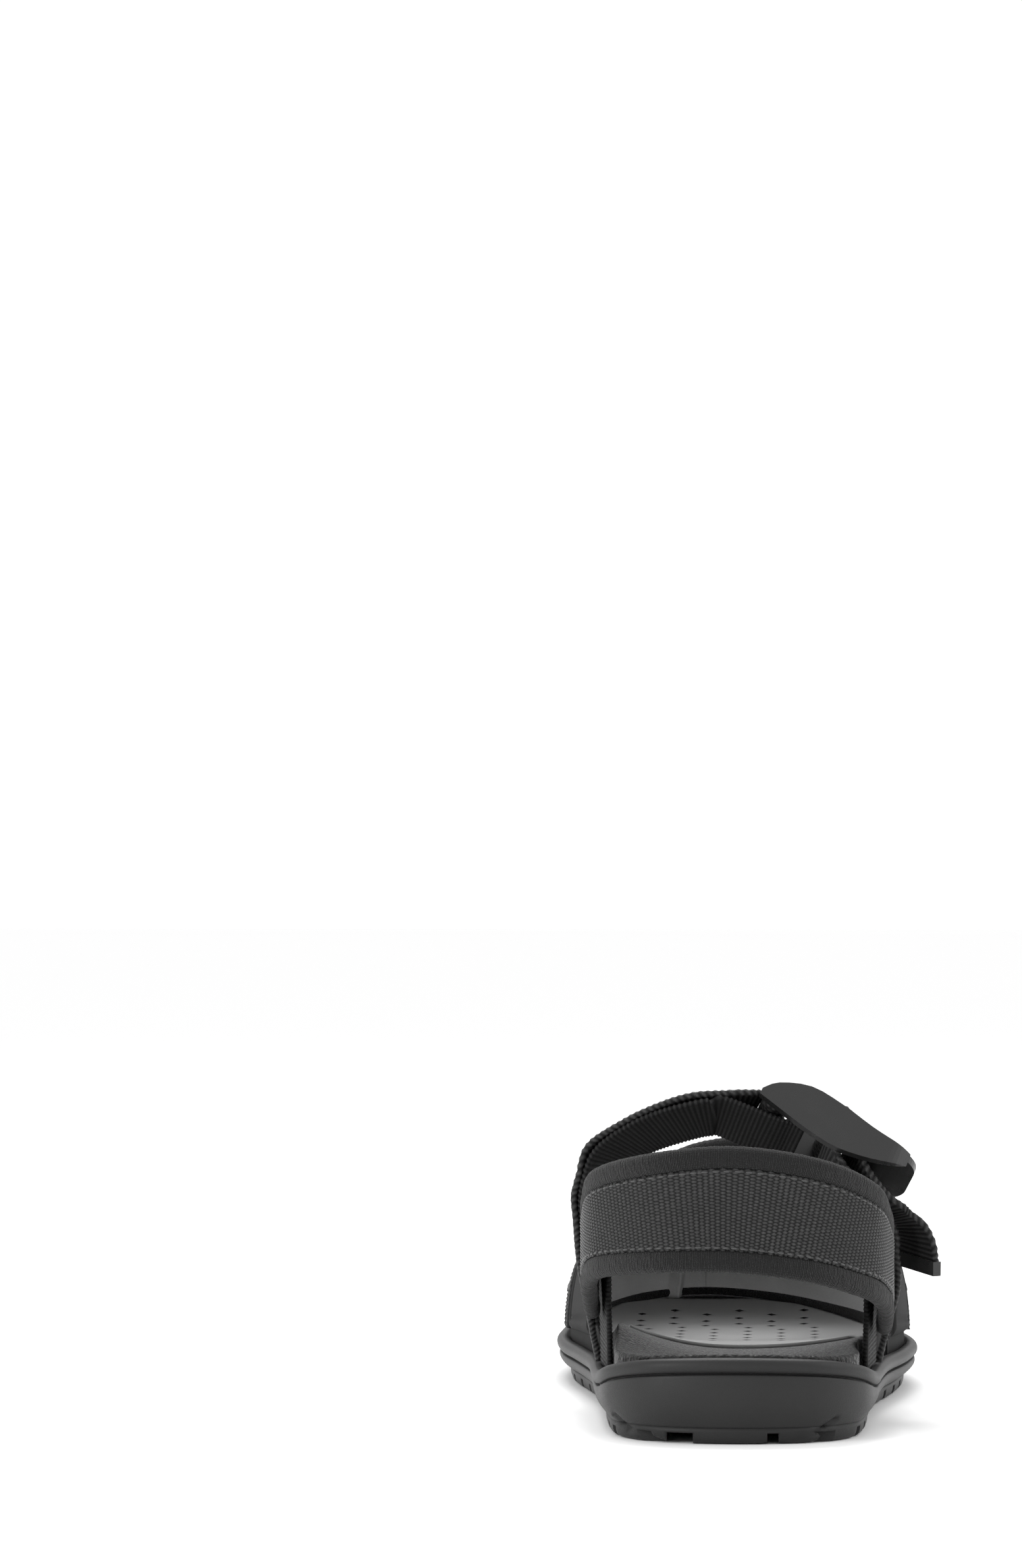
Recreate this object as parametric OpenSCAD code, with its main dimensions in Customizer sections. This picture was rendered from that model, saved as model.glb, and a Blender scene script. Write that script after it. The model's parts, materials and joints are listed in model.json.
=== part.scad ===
// Right-foot sport sandal: sling-back heel strap, buckled instep strap and a closed soft vamp.
// The heel is at -Y, the toe at +Y, the outer (lateral) side at +X, and the floor is Z = 0.

/* [Sole] */
// Length of the sole from heel to toe
sole_length = 288; // [230:1:350]
// Width of the rim bead across the heel
heel_width = 78; // [64:1:94]
// Width of the rim bead across the ball of the foot
ball_width = 107; // [88:1:130]
// Height of the rim bead at the back of the heel
heel_rim_z = 23.5; // [20:0.5:30]
// Height of the rim bead along the forefoot
toe_rim_z = 13; // [12:0.5:18]
// Height of the rounded rim bead above its groove
bead_h = 4.2; // [3:0.1:5.2]
// Depth of the tread channels
tread_depth = 3; // [2:0.1:4]
// Thickness of the outsole web above the channels
outsole_web = 1.4; // [1:0.1:2.2]
// Lift of the toe above the floor
toe_spring = 6; // [0:0.5:10]

/* [Footbed] */
// Height of the footbed surface above the midsole at the heel
footbed_t = 8.5; // [6:0.5:11]
// Rise of the footbed's inner wing beside the arch
arch_rise = 12; // [5:0.5:15]
// Thickness of the perforated forefoot sheet
sheet_t = 1; // [0.6:0.1:1.6]
// Spacing of the perforation columns
hole_pitch = 9.9; // [8:0.1:13]
// Width of one diamond perforation
hole_w = 3; // [1.5:0.1:4.5]
// Length of the stiffening shank
shank_l = 84; // [50:1:110]
// Width of the stiffening shank
shank_w = 20; // [12:1:26]
// Thickness of the stiffening shank
shank_t = 1.6; // [1:0.1:2.4]

/* [Vamp] */
// Height of the vamp at its throat
throat_z = 73.5; // [60:0.5:86]
// Thickness of the outer vamp shell
vamp_t = 1.4; // [1:0.1:2]
// Thickness of the vamp lining
lining_t = 1; // [0.6:0.1:1.4]
// Thickness of the toe bumper
bumper_t = 2; // [1.2:0.1:3]
// Width of the forefoot webbing
forefoot_w = 24; // [16:1:32]

/* [Straps] */
// Width of the webbing of the instep strap
strap_w = 25; // [18:1:30]
// Thickness of one layer of webbing
web_t = 1.6; // [1.2:0.1:2.2]
// Width of the heel strap over its bindings
heel_strap_w = 34; // [28:1:38]
// Width of each knitted edge binding
binding_w = 6.4; // [4:0.1:8]
// Thickness of the heel strap's foam pad
pad_t = 2; // [1.4:0.1:3]
// Width of the webbing that anchors the heel strap
anchor_w = 22; // [14:1:26]

/* [Buckle] */
// Thickness of one side rail
rail_t = 2.7; // [2:0.1:4]
// Radius of the buckle's bars
bar_r = 2; // [1.4:0.1:2.4]
// Distance between the two bars
bar_gap = 18.5; // [16:0.5:22]
// Length of the buckle past its loop bar
bill_l = 25; // [20:0.5:34]

/* [Hidden] */
$fn = 48;

gap = 0.3;          // clearance between pieces that move past each other
seam = 0.1;         // clearance between pieces of one body
centre_x = 0.83;    // middle of the whole sandal's width, measured from the heel's centre line
base_l = 288;       // sole length that the shapes below are drawn at
base_heel = 78;     // heel width that they are drawn at
base_ball = 107;    // ball width that they are drawn at
outsole_z = tread_depth + outsole_web;

// ---- curves -------------------------------------------------------------------------------

function unit(v) = v / norm(v);
function mix(a, b, t) = a + (b - a) * t;

// Smooth curve through points, t = 0 .. 1 between b and c
function between(a, b, c, d, t) =
    0.5 * (2 * b + (c - a) * t + (2 * a - 5 * b + 4 * c - d) * t * t
    + (3 * b - a - 3 * c + d) * t * t * t);

// Point s = 0 .. len - 1 along an open curve
function along(pts, s) =
    let (n = len(pts) - 1, i = min(floor(s), n - 1))
    between(pts[max(i - 1, 0)], pts[i], pts[i + 1], pts[min(i + 2, n)], s - i);
function curve(pts, steps) = [for (k = [0 : steps]) along(pts, k * (len(pts) - 1) / steps)];

// Smooth function of y through knots [y, value]
function knot(y, tab, i = 0) =
    (i >= len(tab) - 2 || y < tab[i + 1][0]) ? i : knot(y, tab, i + 1);
function rise(tab, i) = (tab[i + 1][1] - tab[i][1]) / (tab[i + 1][0] - tab[i][0]);
function slope(tab, i) =
    i <= 0 ? rise(tab, 0)
    : i >= len(tab) - 1 ? rise(tab, len(tab) - 2)
    : (rise(tab, i - 1) + rise(tab, i)) / 2;
function value(y, tab) =
    let (i = knot(y, tab), h = tab[i + 1][0] - tab[i][0], t = (y - tab[i][0]) / h,
         a = tab[i][1], b = tab[i + 1][1], u = slope(tab, i) * h, v = slope(tab, i + 1) * h)
    a + u * t + (3 * (b - a) - 2 * u - v) * t * t + (u + v - 2 * (b - a)) * t * t * t;

// ---- frame: the shapes are drawn from the back of the heel and then sized and centred ------

function wide(y) =
    mix(heel_width / base_heel, ball_width / base_ball, min(max((y - 60) / 90, 0), 1));
function at(x, y, z) = [x * wide(y) - centre_x, (y - base_l / 2) * sole_length / base_l, z];
function drawn_y(p) = p[1] * base_l / sole_length + base_l / 2;
function drawn_x(p) = (p[0] + centre_x) / wide(drawn_y(p));

// ---- sole outline --------------------------------------------------------------------------

OUTLINE = [
    [0, 0], [22, 5], [35, 20], [39, 42], [40.5, 75], [43.5, 112], [49.5, 150], [52, 185],
    [47.5, 222], [37, 253], [16, 278], [-12, 288], [-37, 277], [-51, 248], [-55, 213],
    [-53.5, 180], [-48, 146], [-43, 110], [-41, 75], [-39, 42], [-35, 20], [-22, 5]
];
TOE = 11;               // place along OUTLINE of the toe's tip
SIDES = 72;             // points in one ring of the sole

function edge(s) =
    let (n = len(OUTLINE), i = floor(s), k = (i + n) % n,
         p = between(OUTLINE[(k + n - 1) % n], OUTLINE[k], OUTLINE[(k + 1) % n],
                     OUTLINE[(k + 2) % n], s - i))
    at(p[0], p[1], 0);
function outward(s) =
    let (d = edge(s + 0.05) - edge(s - 0.05)) unit([d[1], -d[0], 0]);
// Point on the outline moved in by a distance
function rim(s, inset) = edge(s) - outward(s) * inset;
function ring_s(k) = k * len(OUTLINE) / SIDES;
// Place along the outline at a distance y from the heel, side is -1 on the inner side
function side_s(y, side, lo = 0, hi = 8, tries = 16) =
    let (mid = (lo + hi) / 2, s = TOE + side * -mid)
    tries == 0 ? s
    : drawn_y(edge(s)) > y ? side_s(y, side, mid, hi, tries - 1)
    : side_s(y, side, lo, mid, tries - 1);

function half_width(y) = value(y, [
    [0, 12], [5, 22], [20, 35], [42, 39], [75, 40.7], [112, 43.2], [150, 49], [185, 53],
    [222, 50.5], [254, 43], [276, 28], [288, 12]]);
function middle(y) = value(y, [
    [0, 0], [75, 0], [112, 0.3], [150, 0.7], [185, -0.9], [222, -3.5], [254, -9], [288, -14]]);
// Place across the sole, -1 at the inner rim and 1 at the outer rim
function across(p) =
    let (y = drawn_y(p)) min(max((drawn_x(p) - middle(y)) / half_width(y), -1), 1);

// ---- heights of the sole -------------------------------------------------------------------

function spring_z(y) = toe_spring * pow(max(y - 215, 0) / 73, 2);
function bottom_z(y) = outsole_z + spring_z(y);
function rim_z(y) =
    toe_rim_z + spring_z(y) + (heel_rim_z - toe_rim_z)
    * value(y, [[0, 1], [12, 0.82], [35, 0.43], [60, 0.22], [110, 0.1], [200, 0], [288, 0]]);
function dish(y) = value(y, [[0, 0.5], [20, 3], [50, 4.5], [100, 3], [150, 1.5], [288, 0.8]]);
function seat_z(p) =
    let (y = drawn_y(p), u = across(p)) rim_z(y) - 1 - dish(y) * (1 - u * u);
function wing(y) = value(y, [
    [0, 0], [20, 0.15], [45, 0.5], [72, 1], [98, 0.92], [130, 0.4], [160, 0.1], [288, 0.05]]);
function flank(y) = value(y, [
    [0, 0], [20, 1.5], [50, 3.8], [90, 4.4], [130, 2.6], [170, 0.8], [288, 0.6]]);
function tread_z(y) = value(y, [
    [0, 0.4], [12, -0.4], [30, 1.2], [60, 2.5], [100, 2.6], [150, 0], [200, -1], [288, -1.5]]);
// Top surface of the footbed
function foot_z(p) =
    let (y = drawn_y(p), u = across(p), side = u < 0 ? arch_rise * wing(y) : flank(y))
    rim_z(y) - 1 + footbed_t - 5.6 + tread_z(y) + side * pow(abs(u), 2.4)
    - dish(y) * 0.35 * (1 - u * u);

// ---- solids --------------------------------------------------------------------------------

// Closed solid through rings of equal length that run anticlockwise seen against the path; the
// second half of each ring is cut along the same diagonals as the first, so layers lie parallel
module skin(rings) {
    m = len(rings[0]);
    n = len(rings);
    points = [for (r = rings) each r];
    sides = [for (i = [0 : n - 2], j = [0 : m - 1]) let (
        a = i * m + j, b = i * m + (j + 1) % m, c = b + m, d = a + m)
        each (j < m / 2 ? [[a, d, c], [a, c, b]] : [[a, d, b], [b, d, c]])];
    first = [for (j = [0 : m / 2 - 2]) each [[j, j + 1, m - 2 - j], [j, m - 2 - j, m - 1 - j]]];
    last = [for (f = first) [f[0] + (n - 1) * m, f[2] + (n - 1) * m, f[1] + (n - 1) * m]];
    polyhedron(points = points, faces = concat(first, sides, last), convexity = 6);
}

// Closed solid through rings of the sole, each end closed by rungs from side to side
module stack(rings) {
    m = SIDES;
    n = len(rings);
    points = [for (r = rings) each r];
    sides = [for (i = [0 : n - 2], j = [0 : m - 1]) let (
        a = i * m + j, b = i * m + (j + 1) % m, c = b + m, d = a + m) each [[a, d, c], [a, c, b]]];
    rungs = [for (j = [0 : m / 2 - 1]) let (
        a = j, b = j + 1, c = (m - j - 1) % m, d = (m - j) % m)
        each (j == 0 ? [[a, b, c]] : j == m / 2 - 1 ? [[a, b, d]] : [[a, b, c], [a, c, d]])];
    top = (n - 1) * m;
    lid = [for (f = rungs) [f[0] + top, f[2] + top, f[1] + top]];
    polyhedron(points = points, faces = concat(rungs, sides, lid), convexity = 6);
}

// One ring of the sole: inset(y) from the outline, height(p)
function sole_ring(inset, height) = [for (k = [0 : SIDES - 1]) let (
    s = ring_s(k), y = drawn_y(edge(s)), p = rim(s, inset(y)))
    [p[0], p[1], height(p)]];
// The same ring drawn in towards a line along the sole
function inner_ring(inset, f, height) = [for (k = [0 : SIDES - 1]) let (
    s = ring_s(k), y = drawn_y(edge(s)), p = rim(s, inset(y)),
    y_in = mix(28, base_l - 34, y / base_l), c = at(middle(y_in), y_in, 0),
    q = mix(p, c, f)) [q[0], q[1], height(q)]];

// Unit vectors along a path, across the strip and out of it
function heading(path, i) =
    unit(path[min(i + 1, len(path) - 1)] - path[max(i - 1, 0)]);
function breadth(path, ref, i) =
    let (t = heading(path, i), r = is_list(ref[0]) ? ref[i] : ref) unit(r - (r * t) * t);
// Directions that turn from a to b over a path of n + 1 points
function turning(a, b, n, power = 1) = [for (i = [0 : n]) unit(mix(a, b, pow(i / n, power)))];

// Strip along a path, from lo(f) to hi(f) across it and from lift to lift + t out of it, f = 0 .. 1
module ribbon(path, ref, lo, hi, lift, t) {
    n = len(path) - 1;
    skin([for (i = [0 : n]) let (
        w = breadth(path, ref, i), o = cross(heading(path, i), w), f = i / n, p = path[i],
        a = p + w * lo(f), b = p + w * hi(f))
        [a + o * lift, b + o * lift, b + o * (lift + t), a + o * (lift + t)]]);
}
module strip(path, ref, w, lift, t) {
    ribbon(path, ref, function(f) -w / 2, function(f) w / 2, lift, t);
}

// ---- sole ----------------------------------------------------------------------------------

function foot_taper(y) = value(y, [[0, 3.4], [60, 3.8], [120, 4.2], [200, 4], [288, 5.5]]);
function wall_ring(f) = sole_ring(
    function(y) 0.9 + (foot_taper(y) - 0.9) * pow(1 - f, 2.2),
    function(p) let (y = drawn_y(p)) mix(bottom_z(y), rim_z(y) - bead_h - 0.7, f));
function bead_ring(inset, below) =
    sole_ring(function(y) inset, function(p) rim_z(drawn_y(p)) - below);
function footbed_inset(y) = value(y, [[0, 3.7], [30, 4.6], [62, 7], [288, 7]]);
bed_edge = function(y) footbed_inset(y);
bed_lip = function(y) footbed_inset(y) + 2.4;
seat = function(p) seat_z(p);
bed_top = function(p) foot_z(p);

module midsole() {
    color("#2b2b2d") difference() {
        stack([
            for (f = [0, 0.12, 0.35, 0.7, 1]) wall_ring(f),
            bead_ring(1.9, bead_h),
            bead_ring(0.5, bead_h - 0.7),
            bead_ring(0, bead_h / 2),
            bead_ring(0.5, 0.6),
            bead_ring(1.7, 0),
            bead_ring(3, 0.4),
            sole_ring(function(y) 3.4, seat),
            sole_ring(bed_edge, seat),
            for (f = [0.3, 0.6, 0.88]) inner_ring(bed_edge, f, seat)
        ]);
        shank_plate(seam);
    }
}

SHANK_Z = 6.2;          // underside of the shank above the floor
SHANK_Y = 112;          // middle of the shank
module shank_plate(grow) {
    c = at(0, SHANK_Y, SHANK_Z - grow);
    translate(c) linear_extrude(shank_t + 2 * grow) hull() {
        for (k = [-1, 1]) translate([0, k * (shank_l - shank_w) / 2]) circle(shank_w / 2 + grow);
    }
}
module shank() { color("#8a8f96") shank_plate(0); }

function flat_ring(inset) = [for (k = [0 : SIDES - 1]) let (
    s = ring_s(k), p = rim(s, inset + foot_taper(drawn_y(edge(s))))) [p[0], p[1]]];

TREAD_END = 226;        // the flat tread stops here and the toe lifts
// Plan of the tread: the sole's own outline cut by the channels
module tread_plan() {
    difference() {
        polygon(flat_ring(1.4));
        for (y = [16 : 13 : 68]) heel_channel(y);
        for (y = [132 : 15.5 : 222]) ball_channel(y);
        for (x = [-15, 10]) lengthwise(x, x == 10 ? 4 : 8.4, -5, 74);
        for (x = [-23, 12]) lengthwise(x, 3.4, 122, 240);
        arch_gap();
        toe_cut();
    }
}
module lengthwise(x, w, y0, y1) {
    polygon([for (p = [[x - w / 2, y0], [x + w / 2, y0], [x + w / 2, y1], [x - w / 2, y1]])
        let (q = at(p[0], p[1], 0)) [q[0], q[1]]]);
}
// Angled channel right across the sole
module chevron(y, w, dip) {
    pts = concat([[-70, y], [0, y - dip], [70, y]], [[70, y + w], [0, y - dip + w], [-70, y + w]]);
    polygon([for (p = pts) let (q = at(p[0], p[1], 0)) [q[0], q[1]]]);
}
module heel_channel(y) { chevron(y, 3.2, 9); }
module ball_channel(y) { chevron(y, 3.4, 12); }
module arch_gap() { chevron(82, 34, 6); }
module toe_cut() {
    polygon([for (p = [[-90, TREAD_END], [90, TREAD_END], [90, 400], [-90, 400]])
        let (q = at(p[0], p[1], 0)) [q[0], q[1]]]);
}

module outsole() {
    color("#1d1d1f") {
        stack([
            sole_ring(function(y) foot_taper(y) + 1,
                function(p) tread_depth - 0.6 + spring_z(drawn_y(p))),
            sole_ring(function(y) foot_taper(y) + 0.1,
                function(p) bottom_z(drawn_y(p)) - seam)
        ]);
        linear_extrude(tread_depth) tread_plan();
        toe_lugs();
    }
}
// Short bars that follow the lifted toe
module toe_lugs() {
    for (y = [234 : 14 : 262], side = [-1, 1]) {
        w = half_width(y) - foot_taper(y) - 6;
        x = middle(y) + side * w / 2;
        lift = spring_z(y + 3);
        translate(at(x, y, lift + 0.5))
            rotate([atan(2 * toe_spring * (y - 211) / (73 * 73)), 0, 0])
            translate([-w / 2 + 1.5, -3.5, 0]) cube([w - 3, 7, tread_depth - 0.3]);
    }
}

// ---- footbed -------------------------------------------------------------------------------

module footbed() {
    under = function(p) seat_z(p) + seam;
    color("#38383a") stack([
        for (f = [0.88, 0.6, 0.3]) inner_ring(bed_edge, f, under),
        sole_ring(bed_edge, under),
        sole_ring(bed_edge, function(p) foot_z(p) - 1.2),
        sole_ring(function(y) footbed_inset(y) + 0.9, function(p) foot_z(p) - 0.1),
        sole_ring(bed_lip, bed_top),
        for (f = [0.12, 0.3, 0.5, 0.7, 0.88]) inner_ring(bed_lip, f, bed_top)
    ]);
}

SHEET_START = 104;      // the smooth sheet begins here, under the arch
SHEET_END = 272;
SHEET_ROWS = 22;
SHEET_COLS = 8;
function sheet_point(r, c, lift) = let (
    y = mix(SHEET_START, SHEET_END, r / SHEET_ROWS), u = 2 * c / SHEET_COLS - 1,
    round_back = 7 * (1 - u * u) * pow(1 - r / SHEET_ROWS, 2),
    half = (half_width(y) - 11.5) * (r == SHEET_ROWS ? 0.72 : 1),
    q = at(middle(y) + u * half, y - round_back, 0)) [q[0], q[1], foot_z(q) + lift];
module sheet_body() {
    skin([for (r = [0 : SHEET_ROWS]) concat(
        [for (c = [0 : SHEET_COLS]) sheet_point(r, c, gap + sheet_t)],
        [for (c = [SHEET_COLS : -1 : 0]) sheet_point(r, c, gap)])]);
}
module diamond(x, y) {
    translate(at(x, y, 0)) linear_extrude(60) polygon([
        [-hole_w / 2, 0], [0, -hole_w * 0.75], [hole_w / 2, 0], [0, hole_w * 0.75]]);
}
module footbed_sheet() {
    color("#47474a") difference() {
        sheet_body();
        for (col = [-3 : 2], row = [0 : 7])
            diamond(col * hole_pitch + 2 - (row > 4 ? 3 : 0), 136 + row * 15.5 + (col + 3) % 2 * 7.7);
    }
}

// ---- vamp ----------------------------------------------------------------------------------

VAMP_STEPS = 18;        // stations from the throat to the toe tip
VAMP_ARC = 9;           // steps from the rim up to the ridge
VAMP_START = 130;       // the vamp starts this far from the back of the heel
THROAT_Y = 158;         // the ridge of the vamp starts here
RIM_IN = 3.9;           // the vamp stands this far inside the sole's outline
vamp_total = vamp_t + lining_t + seam;

// The ridge that the vamp is drawn up to from the rim at y
function ridge_y(y) =
    THROAT_Y + 82 * sin(90 * pow(max(min(y, base_l) - VAMP_START, 0) / (base_l - VAMP_START), 1.15));
function ridge_x(y) = value(y, [[158, 8], [180, 3], [205, -4], [240, -13]]);
function ridge_z(y) = value(y, [[158, throat_z], [180, throat_z - 9], [205, throat_z - 20],
    [240, throat_z - 34]]);
function vamp_y(k) = mix(VAMP_START, base_l, sin(90 * k / VAMP_STEPS));
vamp_places = [for (side = [-1, 1]) [for (k = [0 : VAMP_STEPS])
    k == VAMP_STEPS ? TOE : side_s(vamp_y(k), side)]];
// Point on the vamp's inner face: s along the outline, v = 0 at the rim and 1 at the ridge
function vamp_face(s, v) = let (
    foot = rim(s, RIM_IN + vamp_total), y = drawn_y(edge(s)), yr = ridge_y(y),
    top = at(ridge_x(yr), yr, ridge_z(yr) - vamp_total),
    over = 1 - pow(cos(90 * v), 0.65), toe_part = min(max((y - 170) / 80, 0), 1),
    back = mix(pow(sin(90 * v), 2), over, toe_part))
    [mix(foot[0], top[0], over), mix(foot[1], top[1], back),
     mix(rim_z(y) - 0.9, top[2], pow(sin(90 * v), 0.8))];
function vamp_normal(s, v) = v > 0.97 ? unit([0, 0.35, 1]) : let (
    du = vamp_face(s + 0.04, v) - vamp_face(s - 0.04, v),
    dv = vamp_face(s, min(v + 0.03, 1)) - vamp_face(s, max(v - 0.03, 0))) unit(cross(du, dv));
function vamp_point(s, v, lift) = vamp_face(s, v) + vamp_normal(s, v) * lift;

// Shell over the whole forefoot, sewn up along the toe's middle line
module vamp_layer(lift, t) {
    m = 2 * VAMP_ARC;
    function node_at(k, j, o) =
        let (jj = k == VAMP_STEPS ? min(j, m - j) : j) (k * (m + 1) + jj) * 2 + o;
    points = [for (k = [0 : VAMP_STEPS], j = [0 : m], o = [0, 1]) let (
        v = j <= VAMP_ARC ? j / VAMP_ARC : (m - j) / VAMP_ARC,
        s = vamp_places[j <= VAMP_ARC ? 1 : 0][k])
        vamp_point(s, v, lift + o * t)];
    skins = [for (k = [0 : VAMP_STEPS - 1], j = [0 : m - 1]) let (
        a = node_at(k, j, 1), b = node_at(k, j + 1, 1),
        c = node_at(k + 1, j + 1, 1), d = node_at(k + 1, j, 1))
        each [[a, b, c], [a, c, d], [a - 1, c - 1, b - 1], [a - 1, d - 1, c - 1]]];
    rims = [for (k = [0 : VAMP_STEPS - 1], j = [0, m]) let (
        a = node_at(k, j, 0), b = node_at(k, j, 1), c = node_at(k + 1, j, 1), d = node_at(k + 1, j, 0))
        each (j == 0 ? [[a, b, c], [a, c, d]] : [[a, c, b], [a, d, c]])];
    throat = [for (j = [0 : m - 1]) let (
        a = node_at(0, j, 0), b = node_at(0, j + 1, 0), c = node_at(0, j + 1, 1), d = node_at(0, j, 1))
        each [[a, b, c], [a, c, d]]];
    polyhedron(points = points, faces = [for (f = concat(skins, rims, throat))
        if (f[0] != f[1] && f[1] != f[2] && f[2] != f[0]) f], convexity = 8);
}
module vamp_lining() { color("#5a5a5c") vamp_layer(0, lining_t); }
module vamp_shell() { color("#303032") vamp_layer(lining_t + seam, vamp_t); }

// Patch that lies on the vamp between two places along the outline and two heights
module vamp_patch(s0, s1, v0, v1, lift, t, ns, nv) {
    skin([for (i = [0 : ns]) let (s = mix(s0, s1, i / ns)) concat(
        [for (j = [0 : nv]) vamp_point(s, mix(v0(i / ns), v1(i / ns), j / nv), lift)],
        [for (j = [nv : -1 : 0]) vamp_point(s, mix(v0(i / ns), v1(i / ns), j / nv), lift + t)])]);
}
// Band that lies right across the vamp between y0 and y1, from rim to rim
module vamp_band(y0, y1, lift, t, v_rim = 0.03) {
    places = [for (side = [-1, 1]) [for (i = [0 : 4]) side_s(mix(y0, y1, i / 4), side)]];
    skin([for (j = [-12 : 12]) let (v = 1 - abs(j) / 12 * (1 - v_rim), row = places[j < 0 ? 1 : 0])
        concat([for (i = [0 : 4]) vamp_point(row[i], v, lift + t)],
            [for (i = [4 : -1 : 0]) vamp_point(row[i], v, lift)])]);
}
on_vamp = vamp_total + seam;
PANEL_END = 176;        // the side panels end here
panel_s = [for (side = [-1, 1]) [for (y = [VAMP_START + 4, PANEL_END]) side_s(y, side)]];
BUMPER_START = 222;     // the toe bumper starts here
module toe_bumper() {
    color("#1b1b1d") vamp_patch(side_s(BUMPER_START, 1), side_s(BUMPER_START, -1),
        function(f) 0.03, function(f) 0.1 + 0.3 * sin(180 * f), on_vamp, bumper_t, 30, 5);
}
module panel_lateral() {
    color("#353537") vamp_patch(panel_s[1][0], panel_s[1][1], function(f) 0.03,
        function(f) mix(0.62, 0.46, f), on_vamp, vamp_t, 6, 6);
}
module panel_medial() {
    color("#353537") vamp_patch(panel_s[0][1], panel_s[0][0], function(f) 0.03,
        function(f) mix(0.46, 0.62, f), on_vamp, vamp_t, 6, 6);
}
// Binding round the throat's edge
module vamp_binding() {
    path = [for (j = [-14 : 14]) let (v = 1 - abs(j) / 14 * 0.97,
        s = vamp_places[j < 0 ? 1 : 0][0]) vamp_point(s, v, vamp_total / 2) + [0, -2.7, 0]];
    color("#262628") ribbon(path, [0, 1, 0], function(f) -2, function(f) 2,
        -vamp_total / 2 - 0.9, vamp_total + 1.8);
}
FOREFOOT_Y = 180;       // the forefoot webbing starts here
module forefoot_webbing() {
    color("#2e2e30") vamp_band(FOREFOOT_Y, FOREFOOT_Y + forefoot_w, on_vamp, web_t);
}
// Rows of lock stitches at the ends of the forefoot webbing
module forefoot_bartacks() {
    color("#444446") for (side = [-1, 1]) let (
        s0 = side_s(FOREFOOT_Y + 2, side), s1 = side_s(FOREFOOT_Y + forefoot_w - 2, side))
        vamp_patch(side > 0 ? s0 : s1, side > 0 ? s1 : s0, function(f) 0.16, function(f) 0.19,
            on_vamp + web_t + seam, 0.5, 4, 1);
}

// ---- heel strap ----------------------------------------------------------------------------

HEEL_PATH = [
    [-39.4, 81, 37], [-39.8, 64, 44.5], [-39.4, 46, 51.5], [-35.5, 24, 58], [-20.5, 8.3, 61.8],
    [0, 4.8, 63], [20.5, 8.3, 59.8], [34.5, 22, 53.5], [39, 41, 47], [39.9, 60, 40.5],
    [39.6, 81, 33]];
HEEL_STEPS = 48;
PIVOT = [0, 76, 36];    // the strap's ends turn about a line across the sandal here
heel_path = curve([for (p = HEEL_PATH) at(p[0], p[1], p[2])], HEEL_STEPS);
// Half of the strap's width over the bindings, f = 0 and 1 at its two ends
function heel_half(f) = heel_strap_w / 2
    * value(f, [[0, 0.6], [0.1, 0.7], [0.22, 0.8], [0.36, 0.92], [0.5, 1],
        [0.64, 0.95], [0.78, 0.85], [0.9, 0.72], [1, 0.6]]);
module heel_band(lo, hi, lift, t) { ribbon(heel_path, [0, 0, 1], lo, hi, lift, t); }

module heel_pad() {
    color("#242426") heel_band(function(f) -heel_half(f) + 1.6, function(f) heel_half(f) - 1.6,
        0, pad_t);
}
module heel_webbing() {
    color("#333335") heel_band(function(f) -heel_half(f) + binding_w - 0.6,
        function(f) heel_half(f) - binding_w - 0.9, pad_t + gap, web_t);
}
// Knitted tape folded over one edge of the strap: hollow for the pad's edge
module heel_binding(side) {
    color("#1c1c1e") difference() {
        heel_band(function(f) side > 0 ? heel_half(f) - binding_w : -heel_half(f),
            function(f) side > 0 ? heel_half(f) : -heel_half(f) + binding_w - 0.9,
            -0.9, pad_t + 2);
        heel_band(function(f) side > 0 ? heel_half(f) - binding_w - 2 : -heel_half(f) + 1.5,
            function(f) side > 0 ? heel_half(f) - 1.5 : -heel_half(f) + binding_w + 2,
            -seam, pad_t + 2 * seam);
    }
}
module heel_binding_top() { heel_binding(1); }
module heel_binding_bottom() { heel_binding(-1); }
module heel_bartacks() {
    color("#444446") for (i = [2, 4, HEEL_STEPS - 5, HEEL_STEPS - 3])
        strip([heel_path[i], mix(heel_path[i], heel_path[i + 1], 0.4)], [0, 0, 1],
            heel_strap_w * 0.3, pad_t + web_t + gap + seam, 0.5);
}

// Webbing that rises beside the footbed to the end of the heel strap
module heel_anchor(x, top) {
    path = curve([at(x * 0.995, 78, rim_z(78) - 0.7), at(x, 77.5, 24), at(x * 1.005, 76.5, 33),
        at(x * 1.005, 75.5, top)], 8);
    color("#2a2a2c") strip(path, [0, 1, 0], anchor_w, -web_t / 2, web_t);
}
module heel_anchor_medial() { heel_anchor(-36.8, 45); }
module heel_anchor_lateral() { heel_anchor(36.8, 40); }

// ---- instep strap and buckle ----------------------------------------------------------------

pitch = 28;             // the strap slopes down towards the toe by this angle
buckle_drop = 23;       // the buckle slopes down towards the outer side by this angle
BUCKLE = [6.2, 92.5, 83.8];
HINGE = [2.5, 1];       // hinge bar in the buckle's own plane
LOOP_BAR = [HINGE[0] + bar_gap, 3.5];
// Moves a shape drawn in the buckle's own frame to its place
module on_buckle() {
    translate(at(BUCKLE[0], BUCKLE[1], BUCKLE[2])) rotate([-pitch, buckle_drop, 0]) children();
}
function turned(v) = let (
    a = [v[0], v[1] * cos(pitch) + v[2] * sin(pitch), -v[1] * sin(pitch) + v[2] * cos(pitch)])
    [a[0] * cos(buckle_drop) + a[2] * sin(buckle_drop), a[1],
     -a[0] * sin(buckle_drop) + a[2] * cos(buckle_drop)];
function buckle_at(x, z) = at(BUCKLE[0], BUCKLE[1], BUCKLE[2]) + turned([x, 0, z]);

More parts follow.
